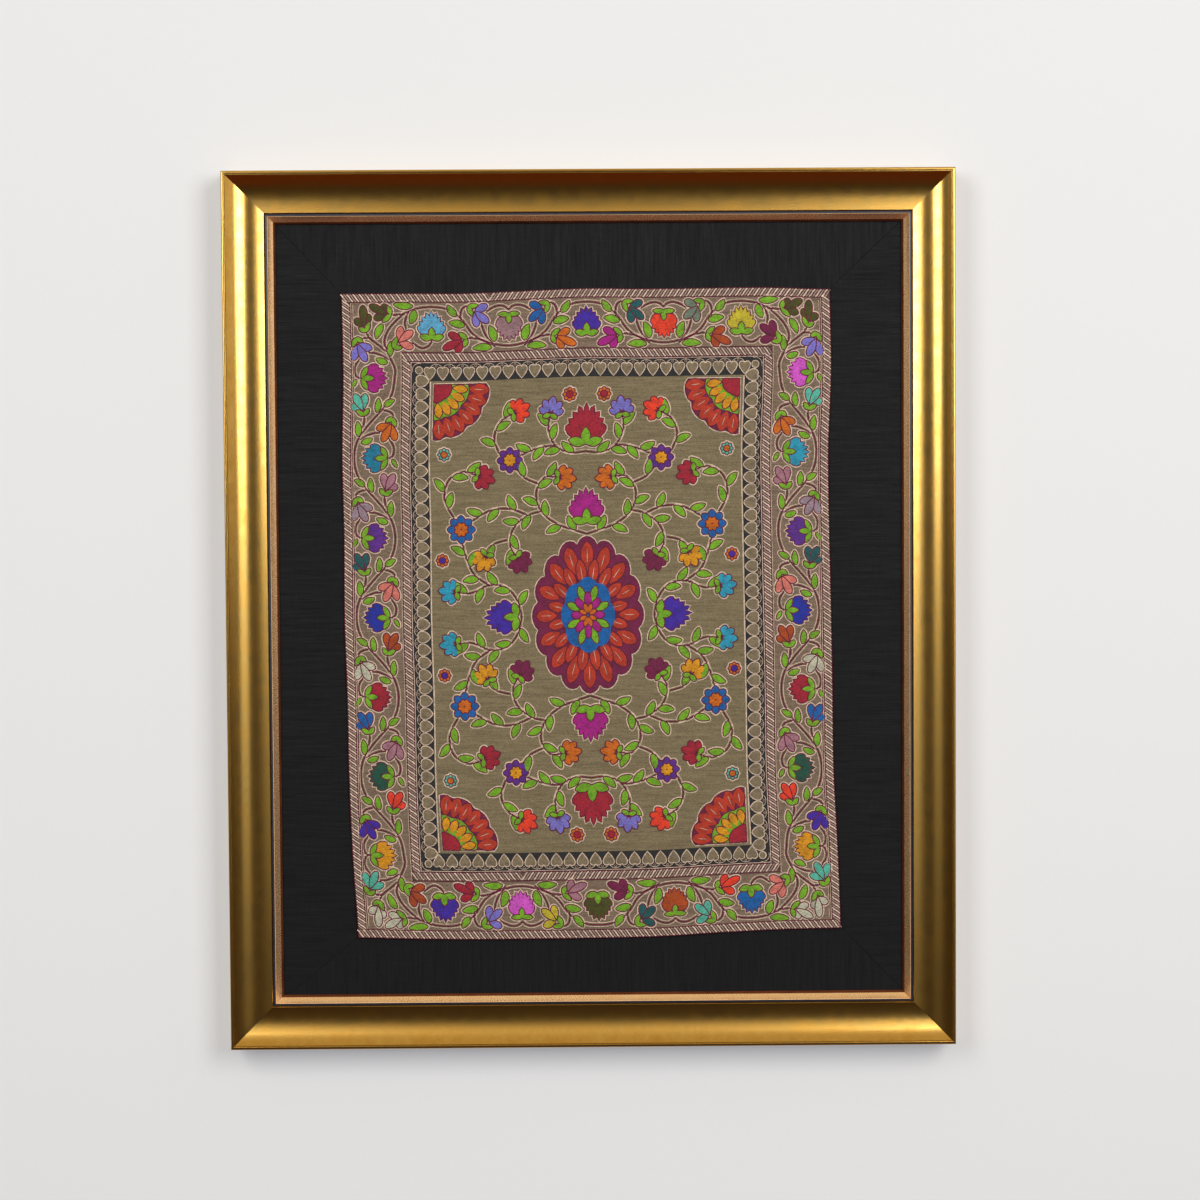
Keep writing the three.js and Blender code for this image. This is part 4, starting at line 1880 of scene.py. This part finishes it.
@dataclass
class RopeBand:
    """A band of slanted strokes along each side of the cloth, a bright and a dim one by turns."""

    loom: Loom
    outer: float
    inner: float
    slants: dict[Side, tuple[int, float]]
    end_pitch: float = 4.32
    side_pitch: float = 3.96
    lean: float = 0.85
    twist: float = 0.35
    bright_width: float = 1.0
    bright_crown: float = 0.42
    dim_width: float = 0.7
    dim_crown: float = 0.3

    def build(self) -> None:
        """Weave the strokes of all four sides; the top and bottom bands take the corners."""
        for side in Side:
            end = side in (Side.TOP, Side.BOTTOM)
            start, pitch = (self.outer, self.end_pitch) if end else (self.inner, self.side_pitch)
            length = self.loom.weave.length(side) - 2 * start
            count = round(length / pitch)
            step = length / count
            slant, turned = self.slants[side]
            for k in range(count):
                middle = start + (k + 0.5) * step
                lean = -slant if k < turned * count else slant
                self._stroke(side, middle - 0.25 * step, lean, self.bright_width, Thread.ROPE,
                             self.bright_crown)
                self._stroke(side, middle + 0.25 * step, lean, self.dim_width, Thread.ROPE_SHADE,
                             self.dim_crown)

    def _stroke(self, side: Side, middle: float, slant: int, width: float, thread: Thread,
                crown: float) -> None:
        """Weave one stroke across the band: it bends a little at both ends, like a twist of rope.

        Args:
            side: the side of the cloth.
            middle: the stroke's place along it.
            slant: which way it leans, 1 or -1.
            width: its width.
            thread: its colour.
            crown: its height.
        """
        depth = self.inner - self.outer
        share = np.array([0.0, 0.2, 0.5, 0.8, 1.0])
        shift = slant * ((share - 0.5) * depth * self.lean + self.twist * np.sin(2 * np.pi * share))
        inset = self.outer + share * depth
        path = self.loom.weave.beside(side, middle + shift, inset)
        self.loom.strand(path, thread, width, crown)


# The lines of a side and of an end: inset, colour and width

SIDE_LINES = (
    (0.3, Thread.CONTOUR, 0.5), (6.0, Thread.CONTOUR, 0.6), (6.7, Thread.OUTLINE, 0.6),
    (7.3, Thread.CONTOUR, 0.5), (8.0, Thread.OUTLINE, 0.6), (40.7, Thread.OUTLINE, 0.6),
    (41.4, Thread.CONTOUR, 0.5), (46.9, Thread.CONTOUR, 0.6), (47.6, Thread.ROPE, 0.6),
    (61.1, Thread.OUTLINE, 1.1),
)
END_LINES = (
    (0.3, Thread.CONTOUR, 0.5), (6.1, Thread.CONTOUR, 0.7), (40.9, Thread.CONTOUR, 0.6),
    (47.3, Thread.CONTOUR, 0.6), (47.9, Thread.ROPE, 0.5),
)


@dataclass
class EdgeLines:
    """Straight threads that run beside the ropes."""

    loom: Loom
    step: float = 9.0
    crown: float = 0.3

    def build(self) -> None:
        """Lay the lines of all four sides."""
        for side in (Side.LEFT, Side.RIGHT, Side.TOP, Side.BOTTOM):
            for line in SIDE_LINES if side in (Side.LEFT, Side.RIGHT) else END_LINES:
                self._line(side, *line)

    def _line(self, side: Side, inset: float, thread: Thread, width: float) -> None:
        """Lay one thread from corner to corner of the ring at an inset.

        Args:
            side: the side.
            inset: distance in from it.
            thread: the colour.
            width: its width.
        """
        length = self.loom.weave.length(side)
        along = np.linspace(inset, length - inset, int(length / self.step))
        path = self.loom.weave.beside(side, along, np.full_like(along, inset))
        self.loom.strand(path, thread, width, self.crown)


@dataclass
class HeartRow:
    """Hearts round the panel, their tips inwards, with a pale arc from cleft to cleft."""

    loom: Loom
    across: int = 25
    down: int = 38
    length: float = 9.2
    tip_inset: float = 60.1
    first: float = 60.6
    arc_inset: float = 48.9
    ring_inset: float = 50.3
    cleft: float = 0.93
    arc_fullness: float = 0.7
    arc_width: float = 0.5
    arc_crown: float = 0.3
    ring_radius: float = 0.75
    ring_width: float = 0.45
    ring_crown: float = 0.28
    corner_inset: float = 53.2
    corner_radius: float = 2.6
    corner_arc: float = 4.7
    corner_lap: float = 0.3
    pointed: tuple[Point, ...] = ((0, 0), (0.2, 0.18), (0.42, 0.34), (0.66, 0.44), (0.86, 0.42),
                                  (0.99, 0.28), (0.99, 0.13), (0.91, 0))
    rounded: tuple[Point, ...] = ((0, 0), (0.07, 0.14), (0.26, 0.34), (0.5, 0.45), (0.76, 0.45),
                                  (0.95, 0.31), (0.99, 0.14), (0.95, 0))

    def outline(self, side: Side, along: float) -> Array:
        """Outline one heart: shares of its length out from the tip and to each side.

        Args:
            side: the side it stands on.
            along: its place along that side.

        Returns:
            The closed outline.
        """
        level = side in (Side.TOP, Side.BOTTOM)
        up, out = np.array(self.pointed if level else self.rounded).T * self.length
        inset = self.tip_inset - np.concatenate([up, up[-2:0:-1]])
        sideways = np.concatenate([out, -out[-2:0:-1]])
        return self.loom.weave.beside(side, along + sideways, inset)

    def build(self) -> None:
        """Weave the row along each side, then the discs and arcs of the corners."""
        weave = self.loom.weave
        for side in Side:
            length = weave.length(side)
            count = self.across if side in (Side.TOP, Side.BOTTOM) else self.down
            places = np.linspace(self.first, length - self.first, count)
            for along in places:
                outline = self.outline(side, along)
                self.loom.dome(outline, Thread.OUTLINE, HEART_RIM)
                self.loom.dome(outline, Thread.HEART, HEART_FACE)
            for start, end in zip(places, places[1:]):
                self._arc(side, start, end)
        self._corners()

    def _arc(self, side: Side, start: float, end: float) -> None:
        """Lay the arc between two clefts and the small ring under it.

        Args:
            side: the side.
            start: the first heart's place along it.
            end: the next heart's place.
        """
        share = np.linspace(0.0, 1.0, 7)
        cleft = self.tip_inset - self.cleft * self.length
        inset = cleft + (self.arc_inset - cleft) * np.sin(np.pi * share) ** self.arc_fullness
        path = self.loom.weave.beside(side, start + share * (end - start), inset)
        self.loom.strand(path, Thread.OUTLINE, self.arc_width, self.arc_crown)
        turn = np.linspace(0.0, 2 * np.pi, 8, endpoint=False)
        along = (start + end) / 2 + self.ring_radius * np.cos(turn)
        ring = self.loom.weave.beside(side, along, self.ring_inset + self.ring_radius * np.sin(turn))
        self.loom.strand(ring, Thread.ROPE_SHADE, self.ring_width, self.ring_crown, closed=True)

    def _corners(self) -> None:
        """Weave a disc in each corner and an arc round its outer side."""
        weave = self.loom.weave
        turn = np.linspace(0.0, 2 * np.pi, 16, endpoint=False)
        sweep = np.linspace(-self.corner_lap, np.pi / 2 + self.corner_lap, 12)
        for right in (0, 1):
            for top in (0, 1):
                middle = np.array([
                    weave.width * right + (1 - 2 * right) * self.corner_inset,
                    weave.height * top + (1 - 2 * top) * self.corner_inset,
                ])
                outwards = np.array([2 * right - 1, 2 * top - 1])
                disc = middle + self.corner_radius * np.stack([np.cos(turn), np.sin(turn)], axis=1)
                self.loom.dome(disc, Thread.OUTLINE, HEART_RIM)
                self.loom.dome(disc, Thread.HEART, HEART_FACE)
                bow = middle + self.corner_arc * outwards * np.stack([np.cos(sweep), np.sin(sweep)], axis=1)
                self.loom.strand(bow, Thread.OUTLINE, self.arc_width, self.arc_crown)


# The panel's own design


@dataclass(frozen=True)
class Branch:
    """A leafy stem of the panel that ends in a blossom, in one quarter's axes.

    Attributes:
        knots: points that the stem passes, outwards from its root.
        petals: the blossom's colour, or none for a stem that joins another motif.
        first: which side the first leaf grows on, 1 for left.
    """

    knots: tuple[Point, ...]
    petals: Thread | None = None
    first: int = 1


@dataclass(frozen=True)
class PetalRing:
    """Petals round a middle.

    Attributes:
        count: how many.
        inner: where each starts, as a share of its reach.
        reach: half width and half height of the oval that their tips touch.
        width: each petal's width.
        thread: their colour.
        turned: how far the ring is turned, in petals.
        lift: how far they are raised.
        vein: whether each has a pale vein.
    """

    count: int
    inner: float
    reach: Point
    width: float
    thread: Thread
    turned: float = 0.0
    lift: float = 0.0
    vein: bool = False


@dataclass(frozen=True)
class Fan:
    """A lobed quarter disc in a corner of the panel, with petals on it where a count is given."""

    radius: float
    lobes: int
    thread: Thread
    lift: float = 0.0
    petals: int = 0
    petal_from: float = 0.0
    petal_to: float = 0.0
    petal_width: float = 0.0
    petal_thread: Thread = Thread.BRICK
    petal_lift: float = 0.0


MEDALLION_RINGS = (
    PetalRing(16, 0.6, (36.0, 50.5), 8.6, Thread.BRICK, 0.0, 0.16, vein=True),
    PetalRing(16, 0.5, (28.0, 39.0), 7.0, Thread.BRICK, 0.5, 0.3, vein=True),
)
HEART_RINGS = (
    PetalRing(8, 0.4, (15.4, 21.4), 4.6, Thread.LEAF, 0.5, 0.6),
    PetalRing(8, 0.3, (11.4, 15.8), 4.6, Thread.MAGENTA, 0.0, 0.74),
    PetalRing(8, 0.2, (6.0, 8.4), 2.8, Thread.ORANGE, 0.5, 0.88),
)
CORNER_FANS = (
    Fan(36.0, 7, Thread.MAROON, 0.0, 7, 24.0, 38.0, 7.95, Thread.BRICK, 0.16),
    Fan(23.0, 5, Thread.LEAF, 0.3, 5, 13.0, 23.0, 5.16, Thread.GOLD_YELLOW, 0.46),
    Fan(11.5, 3, Thread.CRIMSON, 0.6),
)


@dataclass
class PanelDesign:
    """A medallion carpet design of the maker's own, even about both middles of the panel."""

    loom: Loom
    corner: Point = (106.4, 161.8)
    leaf_pitch: float = 9.8
    leaf_length: float = 10.4
    leaf_width: float = 4.7
    leaf_lean: float = 42.0
    leaf_gap: float = 1.3
    leaf_bend: float = 0.7
    bud_width: float = 5.2
    bud_petals: tuple[tuple[float, float, float], ...] = (
        (-72, 8.8, 0.0), (72, 8.8, 0.0), (-36, 10.6, 0.14), (36, 10.6, 0.14), (0, 11.8, 0.28),
    )
    bud_leaf: Point = (5.6, 3.2)
    bud_leaf_turn: float = 118.0

    def quarters(self) -> list[Axes]:
        """Give the axes of the panel's four quarters: out to the side and up or down."""
        middle = (self.loom.weave.width / 2, self.loom.weave.height / 2)
        return [Axes(middle, (x, 0.0), (0.0, y)) for x in (1.0, -1.0) for y in (1.0, -1.0)]

    @staticmethod
    def turned(way: Array, degrees: float) -> Array:
        """Turn a flat step anticlockwise.

        Args:
            way: the step.
            degrees: the turn.

        Returns:
            The turned step.
        """
        angle = math.radians(degrees)
        return np.array([way[0] * math.cos(angle) - way[1] * math.sin(angle),
                         way[0] * math.sin(angle) + way[1] * math.cos(angle)])

    @staticmethod
    def lobed(across: float, up: float, lobes: int, depth: float, count: int = 96) -> Array:
        """Outline an oval whose radius swells at each lobe by the depth times |cos| of its angle.

        Args:
            across: half its width.
            up: half its height.
            lobes: how many lobes.
            depth: the swell, as a share.
            count: points round it.

        Returns:
            The closed outline.
        """
        turn = np.linspace(0.0, 2 * np.pi, count, endpoint=False)
        swell = 1 + depth * np.abs(np.cos(lobes * turn / 2)) ** 0.8
        return np.stack([across * swell * np.cos(turn), up * swell * np.sin(turn)], axis=1)

    def petal(self, base: Array, tip: Array, width: float, thread: Thread, lift: float,
              vein: bool = False) -> None:
        """Weave one petal.

        Args:
            base: its root.
            tip: its free end.
            width: its greatest width.
            thread: its colour.
            lift: how far it is raised; only a petal on the ground has a pale outline.
            vein: whether it has a pale vein.
        """
        outline = lens(base, tip, width, 0.0, 1.25, bluntness=0.65)
        self.loom.motif(outline, thread, lift=lift, backed=lift == 0)
        if vein:
            line = base + np.linspace(0.28, 0.74, 4)[:, None] * (tip - base)
            self.loom.vein(line, Thread.PEARL, 0.8, lift + FILL.crown + 0.08)

    def ring_of_petals(self, middle: Array, ring: PetalRing) -> None:
        """Weave a ring of petals round a middle.

        Args:
            middle: the middle.
            ring: the ring.
        """
        for k in range(ring.count):
            turn = 2 * np.pi * (k + ring.turned) / ring.count
            reach = np.array([ring.reach[0] * np.cos(turn), ring.reach[1] * np.sin(turn)])
            self.petal(middle + ring.inner * reach, middle + reach, ring.width, ring.thread,
                       ring.lift, ring.vein)

    def medallion(self) -> None:
        """Weave the middle medallion, from its widest layer to its eye."""
        middle = np.array([self.loom.weave.width / 2, self.loom.weave.height / 2])
        self.loom.motif(middle + self.lobed(35.0, 49.0, 16, 0.1), Thread.MAROON, heart=middle)
        for ring in MEDALLION_RINGS:
            self.ring_of_petals(middle, ring)
        self.loom.motif(middle + self.lobed(17.0, 23.5, 8, 0.12, 64), Thread.BLUE, lift=0.42,
                        backed=False, heart=middle)
        for ring in HEART_RINGS:
            self.ring_of_petals(middle, ring)

    def corner_fan(self, axes: Axes, fan: Fan) -> None:
        """Weave one fan in the corner of a quarter.

        Its edge swells by 0.06 times |sin| of the angle times the lobes, to the power 0.8.

        Args:
            axes: the quarter's axes.
            fan: the fan.
        """
        turn = np.linspace(0.0, np.pi / 2, 33)
        corner = np.array(self.corner)
        swell = fan.radius * (1 + 0.06 * np.abs(np.sin(fan.lobes * turn)) ** 0.8)
        edge = corner - np.stack([swell * np.cos(turn), swell * np.sin(turn)], axis=1)
        heart = axes.carry([corner - 0.35 * fan.radius])[0]
        self.loom.motif(axes.carry(np.vstack([edge, corner[None, :]])), fan.thread, lift=fan.lift,
                        backed=fan.lift == 0, heart=heart)
        for k in range(fan.petals):
            angle = np.pi / 2 * (k + 0.5) / fan.petals
            ray = np.array([np.cos(angle), np.sin(angle)])
            base, tip = axes.carry([corner - fan.petal_from * ray, corner - fan.petal_to * ray])
            self.petal(base, tip, fan.petal_width, fan.petal_thread, fan.petal_lift,
                       vein=fan.petal_thread is Thread.BRICK)

    def branch(self, axes: Axes, branch: Branch) -> None:
        """Weave a stem with leaves on both sides by turns, and the blossom at its end.

        Args:
            axes: the quarter's axes.
            branch: the stem.
        """
        path = even_steps(smooth_curve(axes.carry(branch.knots), 12), STEM_STEP)
        self.loom.stem(path)
        length = STEM_STEP * (len(path) - 1)
        count = max(int((length - 5.0) / self.leaf_pitch), 1)
        ahead = np.gradient(path, axis=0)
        hand = branch.first * float(np.sign(axes.first[0] * axes.second[1]))
        for k in range(count):
            i = int((k + 0.75) * (len(path) - 1) / (count + 0.5))
            way = ahead[i] / np.linalg.norm(ahead[i])
            lean = self.turned(way, hand * self.leaf_lean)
            base = path[i] + self.leaf_gap * lean
            tip = base + self.leaf_length * lean
            leaf = lens(base, tip, self.leaf_width, -hand * self.leaf_bend, 0.85)
            self.loom.motif(leaf, Thread.LEAF)
            hand = -hand
        if branch.petals is not None:
            self.bud(path[-1], ahead[-1] / np.linalg.norm(ahead[-1]), branch.petals)

    def bud(self, foot: Array, way: Array, petals: Thread) -> None:
        """Weave a blossom of five petals that opens along a direction.

        Args:
            foot: where it joins its stem.
            way: the unit step that it opens along.
            petals: its colour.
        """
        for degrees, reach, lift in self.bud_petals:
            ray = self.turned(way, degrees)
            base = foot + 0.8 * way + 0.6 * ray
            self.petal(base, foot + reach * ray, self.bud_width, petals, lift)
        length, width = self.bud_leaf
        for sign in (-1, 1):
            ray = self.turned(way, sign * self.bud_leaf_turn)
            leaf = lens(foot - 0.5 * way, foot + length * ray, width)
            self.loom.motif(leaf, Thread.LEAF, lift=LIFT)

    def build(self) -> None:
        """Weave the fans, each quarter's branches, the flowers on both middles and the medallion."""
        weave, loom = self.loom.weave, self.loom
        middle = (weave.width / 2, weave.height / 2)
        for axes in self.quarters():
            for fan in CORNER_FANS:
                self.corner_fan(axes, fan)
            for branch in PANEL_BRANCHES:
                self.branch(axes, branch)
            for (x, y), size, thread, eye in PANEL_ROSETTES:
                centre = axes.carry([(x, y)])[0]
                half = 0.5 * size
                self.ring_of_petals(centre, PetalRing(8, 0.28, (size, size), half, thread))
                self.ring_of_petals(centre, PetalRing(8, 0.1, (half, half), 0.3 * size, eye, 0.5, 0.26))
        for way in (1.0, -1.0):
            for up, thread, size in ((75.0, Thread.MAGENTA, 1.25), (131.0, Thread.CRIMSON, 1.45)):
                upright = Axes((middle[0], middle[1] + way * up), (1.0, 0.0), (0.0, way))
                loom.big_flower(upright, thread, UPRIGHT_SHIELD, size)
            beside = Axes((middle[0] + way * 60.0, middle[1]), (0.0, 1.0), (way, 0.0))
            loom.big_flower(beside, Thread.VIOLET, UPRIGHT_SHIELD, 1.2)
        self.medallion()


# One quarter of the panel, in mm from its middle: out to the side and up

PANEL_BRANCHES = (
    Branch(((0.0, 56.0), (9.0, 59.0), (21.0, 63.5), (31.5, 72.5), (35.0, 85.0), (29.0, 95.5),
            (18.5, 95.5)), Thread.ORANGE),
    Branch(((31.5, 72.5), (41.0, 70.0), (51.0, 62.0), (54.0, 50.5), (49.0, 41.0)),
           Thread.MAROON, -1),
    Branch(((41.0, 70.0), (54.0, 75.0), (68.0, 74.0), (81.0, 67.0))),
    Branch(((46.5, 0.0), (49.0, 11.0), (57.0, 20.5), (69.0, 22.5), (81.0, 17.5), (92.5, 18.0)),
           Thread.CYAN),
    Branch(((69.0, 22.5), (79.0, 30.0), (84.0, 40.0), (87.5, 52.0)), None, -1),
    Branch(((92.8, 69.2), (99.0, 82.0), (96.5, 95.0), (86.0, 101.5), (75.0, 98.5)), Thread.CRIMSON),
    Branch(((33.0, 91.5), (42.5, 96.0), (50.0, 104.0))),
    Branch(((0.0, 113.0), (11.0, 112.5), (21.0, 117.5), (26.0, 128.0), (25.0, 139.5)), Thread.LAVENDER),
    Branch(((21.0, 117.5), (32.0, 116.5), (46.0, 111.5)), None, -1),
    Branch(((60.0, 113.0), (64.0, 124.0), (60.0, 135.0), (50.5, 141.0)), Thread.RED_ORANGE, -1),
    Branch(((56.0, 53.5), (66.0, 50.5), (71.0, 43.0)), Thread.GOLD_YELLOW, -1),
)
PANEL_ROSETTES = (
    ((88.0, 61.5), 9.6, Thread.BLUE, Thread.ORANGE),
    ((53.0, 108.5), 8.6, Thread.PURPLE, Thread.GOLD_YELLOW),
    ((12.0, 152.5), 4.6, Thread.ORANGE, Thread.CRIMSON),
    ((99.0, 113.5), 4.2, Thread.AQUA, Thread.ORANGE),
    ((101.5, 40.0), 4.2, Thread.ORANGE, Thread.VIOLET),
)


# Backdrop, lights and camera


@dataclass
class Backdrop:
    """A plain pale board right behind the frame, open where the frame covers it."""

    layout: Layout
    reach: float = 3000.0
    lap: float = 6.0
    behind: float = 1.0
    tone: Colour = (181, 181, 181)
    shade: float = 0.985
    glow: tuple[float, float, float] = (0.285, 0.298, 0.32)

    def build(self) -> bpy.types.Object:
        """Make the board of four slabs round the opening.

        Each slab is the quadrilateral between a side of the opening and the same side of the
        outer edge. Its shader lets light from behind through, so that the back can be seen.
        """
        half = np.array([self.layout.width / 2 - self.lap, self.layout.height / 2 - self.lap])
        signs = np.array([(-1, -1), (1, -1), (1, 1), (-1, 1)])
        flat = np.vstack([signs * half, signs * self.reach])
        points = np.stack([flat[:, 0], np.full(8, self.behind), flat[:, 1] + self.layout.middle], axis=1)
        faces = [(k, (k + 1) % 4, (k + 1) % 4 + 4, k + 4) for k in range(4)]
        mesh = bpy.data.meshes.new("backdrop")
        mesh.from_pydata((points * MM).tolist(), [], [face[::-1] for face in faces])
        mesh.materials.append(self.material())
        board = bpy.data.objects.new("backdrop", mesh)
        bpy.context.scene.collection.objects.link(board)
        return board

    def material(self) -> bpy.types.Material:
        """Wire matt paint with a faint grain and an even glow, clear from its back."""
        board = Board("backdrop_paint", roughness=0.9)
        board.shader.inputs["Emission Color"].default_value = (*self.glow, 1.0)
        board.shader.inputs["Emission Strength"].default_value = 1.0
        grain = board.noise(board.place((4.0, 4.0, 4.0)), detail=4.0, rough=0.6)
        darker_tone = linear(*(part * self.shade for part in self.tone))
        board.colour(board.mix(grain, darker_tone, linear(*self.tone)))
        board.bump(grain, 0.05, 0.3)
        clear = board.add("ShaderNodeBsdfTransparent")
        choice = board.add("ShaderNodeMixShader")
        board.join(board.add("ShaderNodeNewGeometry").outputs["Backfacing"], choice.inputs[0])
        board.join(board.shader.outputs["BSDF"], choice.inputs[1])
        board.join(clear.outputs["BSDF"], choice.inputs[2])
        output = next(n for n in board.tree.nodes if n.type == "OUTPUT_MATERIAL")
        board.join(choice.outputs["Shader"], output.inputs["Surface"])
        return board.material


@dataclass
class LightPanel:
    """A soft rectangular light that faces the frame's middle."""

    name: str
    azimuth: float
    elevation: float
    distance: float
    width: float
    height: float
    power: float
    colour: tuple[float, float, float] = (1.0, 1.0, 1.0)

    def build(self, target: Vector) -> bpy.types.Object:
        """Place the panel at its azimuth, clockwise from straight in front, and elevation."""
        a, e = math.radians(self.azimuth), math.radians(self.elevation)
        away = Vector((math.sin(a) * math.cos(e), -math.cos(a) * math.cos(e), math.sin(e)))
        light = bpy.data.lights.new(self.name, "AREA")
        light.shape = "RECTANGLE"
        light.size, light.size_y = self.width, self.height
        light.energy, light.color = self.power, self.colour
        panel = bpy.data.objects.new(self.name, light)
        panel.location = target + away * self.distance
        panel.rotation_euler = (-away).to_track_quat("-Z", "Y").to_euler()
        bpy.context.scene.collection.objects.link(panel)
        return panel


LIGHTS = (
    LightPanel("left_panel", -29.0, 18.5, 2.6, 0.9, 1.4, 31.0),
    LightPanel("right_panel", 29.0, 17.5, 2.6, 1.05, 1.4, 43.0),
    LightPanel("left_low", -30.0, -3.5, 2.6, 1.1, 0.8, 0.45),
    LightPanel("right_low", 29.0, -3.5, 2.6, 1.1, 0.8, 1.1),
    LightPanel("left_side", -74.0, 13.0, 2.6, 1.3, 1.3, 1.4, (1.0, 0.88, 0.7)),
    LightPanel("right_side", 68.0, 13.0, 2.6, 1.6, 1.3, 5.2, (1.0, 0.88, 0.7)),
)


@dataclass
class Surround:
    """The room's own light by direction, as red, green and blue radiance.

    The front is dark, the sides are dim and warm, and the ceiling is warm over a dark red floor.
    The back is paler, so that a turned view stays readable.
    """

    front: Colour = (0.045, 0.033, 0.025)
    right: Colour = (0.08, 0.055, 0.03)
    left: Colour = (0.05, 0.036, 0.02)
    ceiling: Colour = (0.66, 0.53, 0.32)
    horizon: Colour = (0.045, 0.03, 0.02)
    floor: Colour = (0.12, 0.032, 0.012)
    back: Colour = (0.55, 0.55, 0.55)

    def build(self) -> None:
        """Mix the tones by the direction's three parts, each over its own smooth range."""
        world = bpy.data.worlds.new("surround")
        world.use_nodes = True
        bpy.context.scene.world = world
        nodes, links = world.node_tree.nodes, world.node_tree.links
        nodes.clear()
        direction = nodes.new("ShaderNodeTexCoord").outputs["Generated"]
        split = nodes.new("ShaderNodeSeparateXYZ")
        links.new(direction, split.inputs[0])

        def share(axis: str, low: float, high: float) -> bpy.types.NodeSocket:
            """Give how far a coordinate has come from one value to another."""
            node = nodes.new("ShaderNodeMapRange")
            node.interpolation_type = "SMOOTHSTEP"
            node.inputs["From Min"].default_value = low
            node.inputs["From Max"].default_value = high
            links.new(split.outputs[axis], node.inputs["Value"])
            return node.outputs["Result"]

        def mixed(amount: bpy.types.NodeSocket, first: object, second: Colour) -> bpy.types.NodeSocket:
            """Mix a tone, a socket or a plain colour, with another colour."""
            node = nodes.new("ShaderNodeMix")
            node.data_type = "RGBA"
            links.new(amount, node.inputs[0])
            if isinstance(first, bpy.types.NodeSocket):
                links.new(first, node.inputs[6])
            else:
                node.inputs[6].default_value = (*first, 1.0)
            node.inputs[7].default_value = (*second, 1.0)
            return node.outputs[2]

        tone: object = self.front
        for axis, low, high, colour in (
            ("X", 0.6, 0.92, self.right), ("X", -0.6, -0.92, self.left),
            ("Z", 0.04, -0.12, self.horizon), ("Z", -0.5, -0.85, self.floor),
            ("Z", 0.02, 0.6, self.ceiling), ("Y", 0.02, 0.3, self.back),
        ):
            tone = mixed(share(axis, low, high), tone, colour)
        background = nodes.new("ShaderNodeBackground")
        output = nodes.new("ShaderNodeOutputWorld")
        links.new(tone, background.inputs["Color"])
        links.new(background.outputs["Background"], output.inputs["Surface"])


@dataclass
class Viewpoint:
    """The camera that took the photograph, solved from the frame's corners."""

    across: float = -14.8
    away: float = 2111.9
    above: float = 106.5
    tilt: float = -2.716
    roll: float = 0.366
    turn: float = -0.594
    lens: float = 90.0
    sensor: float = 36.0

    def build(self, layout: Layout) -> bpy.types.Object:
        """Place the camera from the frame's middle and turn it by its tilt, roll and turn."""
        data = bpy.data.cameras.new("viewpoint")
        data.lens, data.sensor_width, data.sensor_fit = self.lens, self.sensor, "HORIZONTAL"
        data.clip_start, data.clip_end = 0.1, 50.0
        camera = bpy.data.objects.new("viewpoint", data)
        camera.location = Vector((self.across, -self.away, layout.middle + self.above)) * MM
        camera.rotation_euler = [math.radians(a) for a in (90 + self.tilt, self.roll, self.turn)]
        bpy.context.scene.collection.objects.link(camera)
        bpy.context.scene.camera = camera
        return camera


def dress_frame(layout: Layout) -> None:
    """Build the rails and the slip on all four sides."""
    gilt = GiltFinish()
    face = LacquerFinish("slip_navy", (18, 21, 38), (30, 33, 48), roughness=0.35)
    # The arris coat is a painted highlight: a pale line along the slip's rounded arris, on every side.
    arris = LacquerFinish("slip_arris_painted_highlight", (240, 198, 148), (206, 156, 108), roughness=0.45)
    bevel = LacquerFinish("slip_gilt", (253, 220, 180), (246, 200, 152), metallic=0.9, roughness=0.22)
    bole = LacquerFinish("slip_bole", (128, 66, 34), (80, 36, 16), metallic=0.5, roughness=0.4)
    for side in Side:
        GiltRail(layout, side).build(gilt)
        GiltSlip(layout, side).build(face, arris, bevel, bole)


def weave_motifs(weave: Weave) -> list[bpy.types.Object]:
    """Weave the borders and the panel's design, each with one piece for each colour.

    Args:
        weave: the cloth that they lie on.

    Returns:
        All pieces.
    """
    loom = Loom(weave, "woven")
    outer = {Side.TOP: (-1, 0.3), Side.BOTTOM: (-1, 0.0), Side.LEFT: (1, 0.0), Side.RIGHT: (-1, 0.0)}
    inner = {Side.TOP: (1, 0.0), Side.BOTTOM: (1, 0.3), Side.LEFT: (1, 0.0), Side.RIGHT: (-1, 0.0)}
    RopeBand(loom, 0.7, 5.7, outer).build()
    RopeBand(loom, 41.7, 46.7, inner).build()
    EdgeLines(loom).build()
    HeartRow(loom).build()
    ScrollBorder(loom).build()
    panel = Loom(weave, "panel")
    PanelDesign(panel).build()
    return loom.cut_off() + panel.cut_off()


def main() -> None:
    """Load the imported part, dress every node, then set the stage and the camera."""
    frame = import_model()
    bpy.context.scene.view_settings.view_transform = "Standard"
    layout = Layout.read()
    weave = Weave(layout.middle)
    dress_frame(layout)
    silk = SlubSilkFinish()
    for side in Side:
        SilkStrip(layout, weave, side).build(silk)
    board = frame["nodes"]["backing_board"]
    board.data.materials.clear()
    board.data.materials.append(FibreboardFinish().material())
    ground = BrocadeGround(weave).build(
        GroundFinish("rope_ground", (60, 40, 40), (98, 76, 70)),
        GroundFinish("field_ground", (84, 68, 58), (132, 114, 96)),
        GroundFinish("heart_row_ground", (24, 25, 28), (40, 40, 42)),
        GroundFinish("panel_ground", (86, 76, 55), (132, 120, 92)),
    )
    overlays = weave_motifs(weave)
    Backdrop(layout).build()
    middle = Vector((0.0, 0.0, layout.middle * MM))
    for light in LIGHTS:
        light.build(middle)
    Surround().build()
    Viewpoint().build(layout)


if __name__ == "__main__":
    logging.basicConfig(level=logging.INFO, format="%(name)s: %(message)s")
    main()
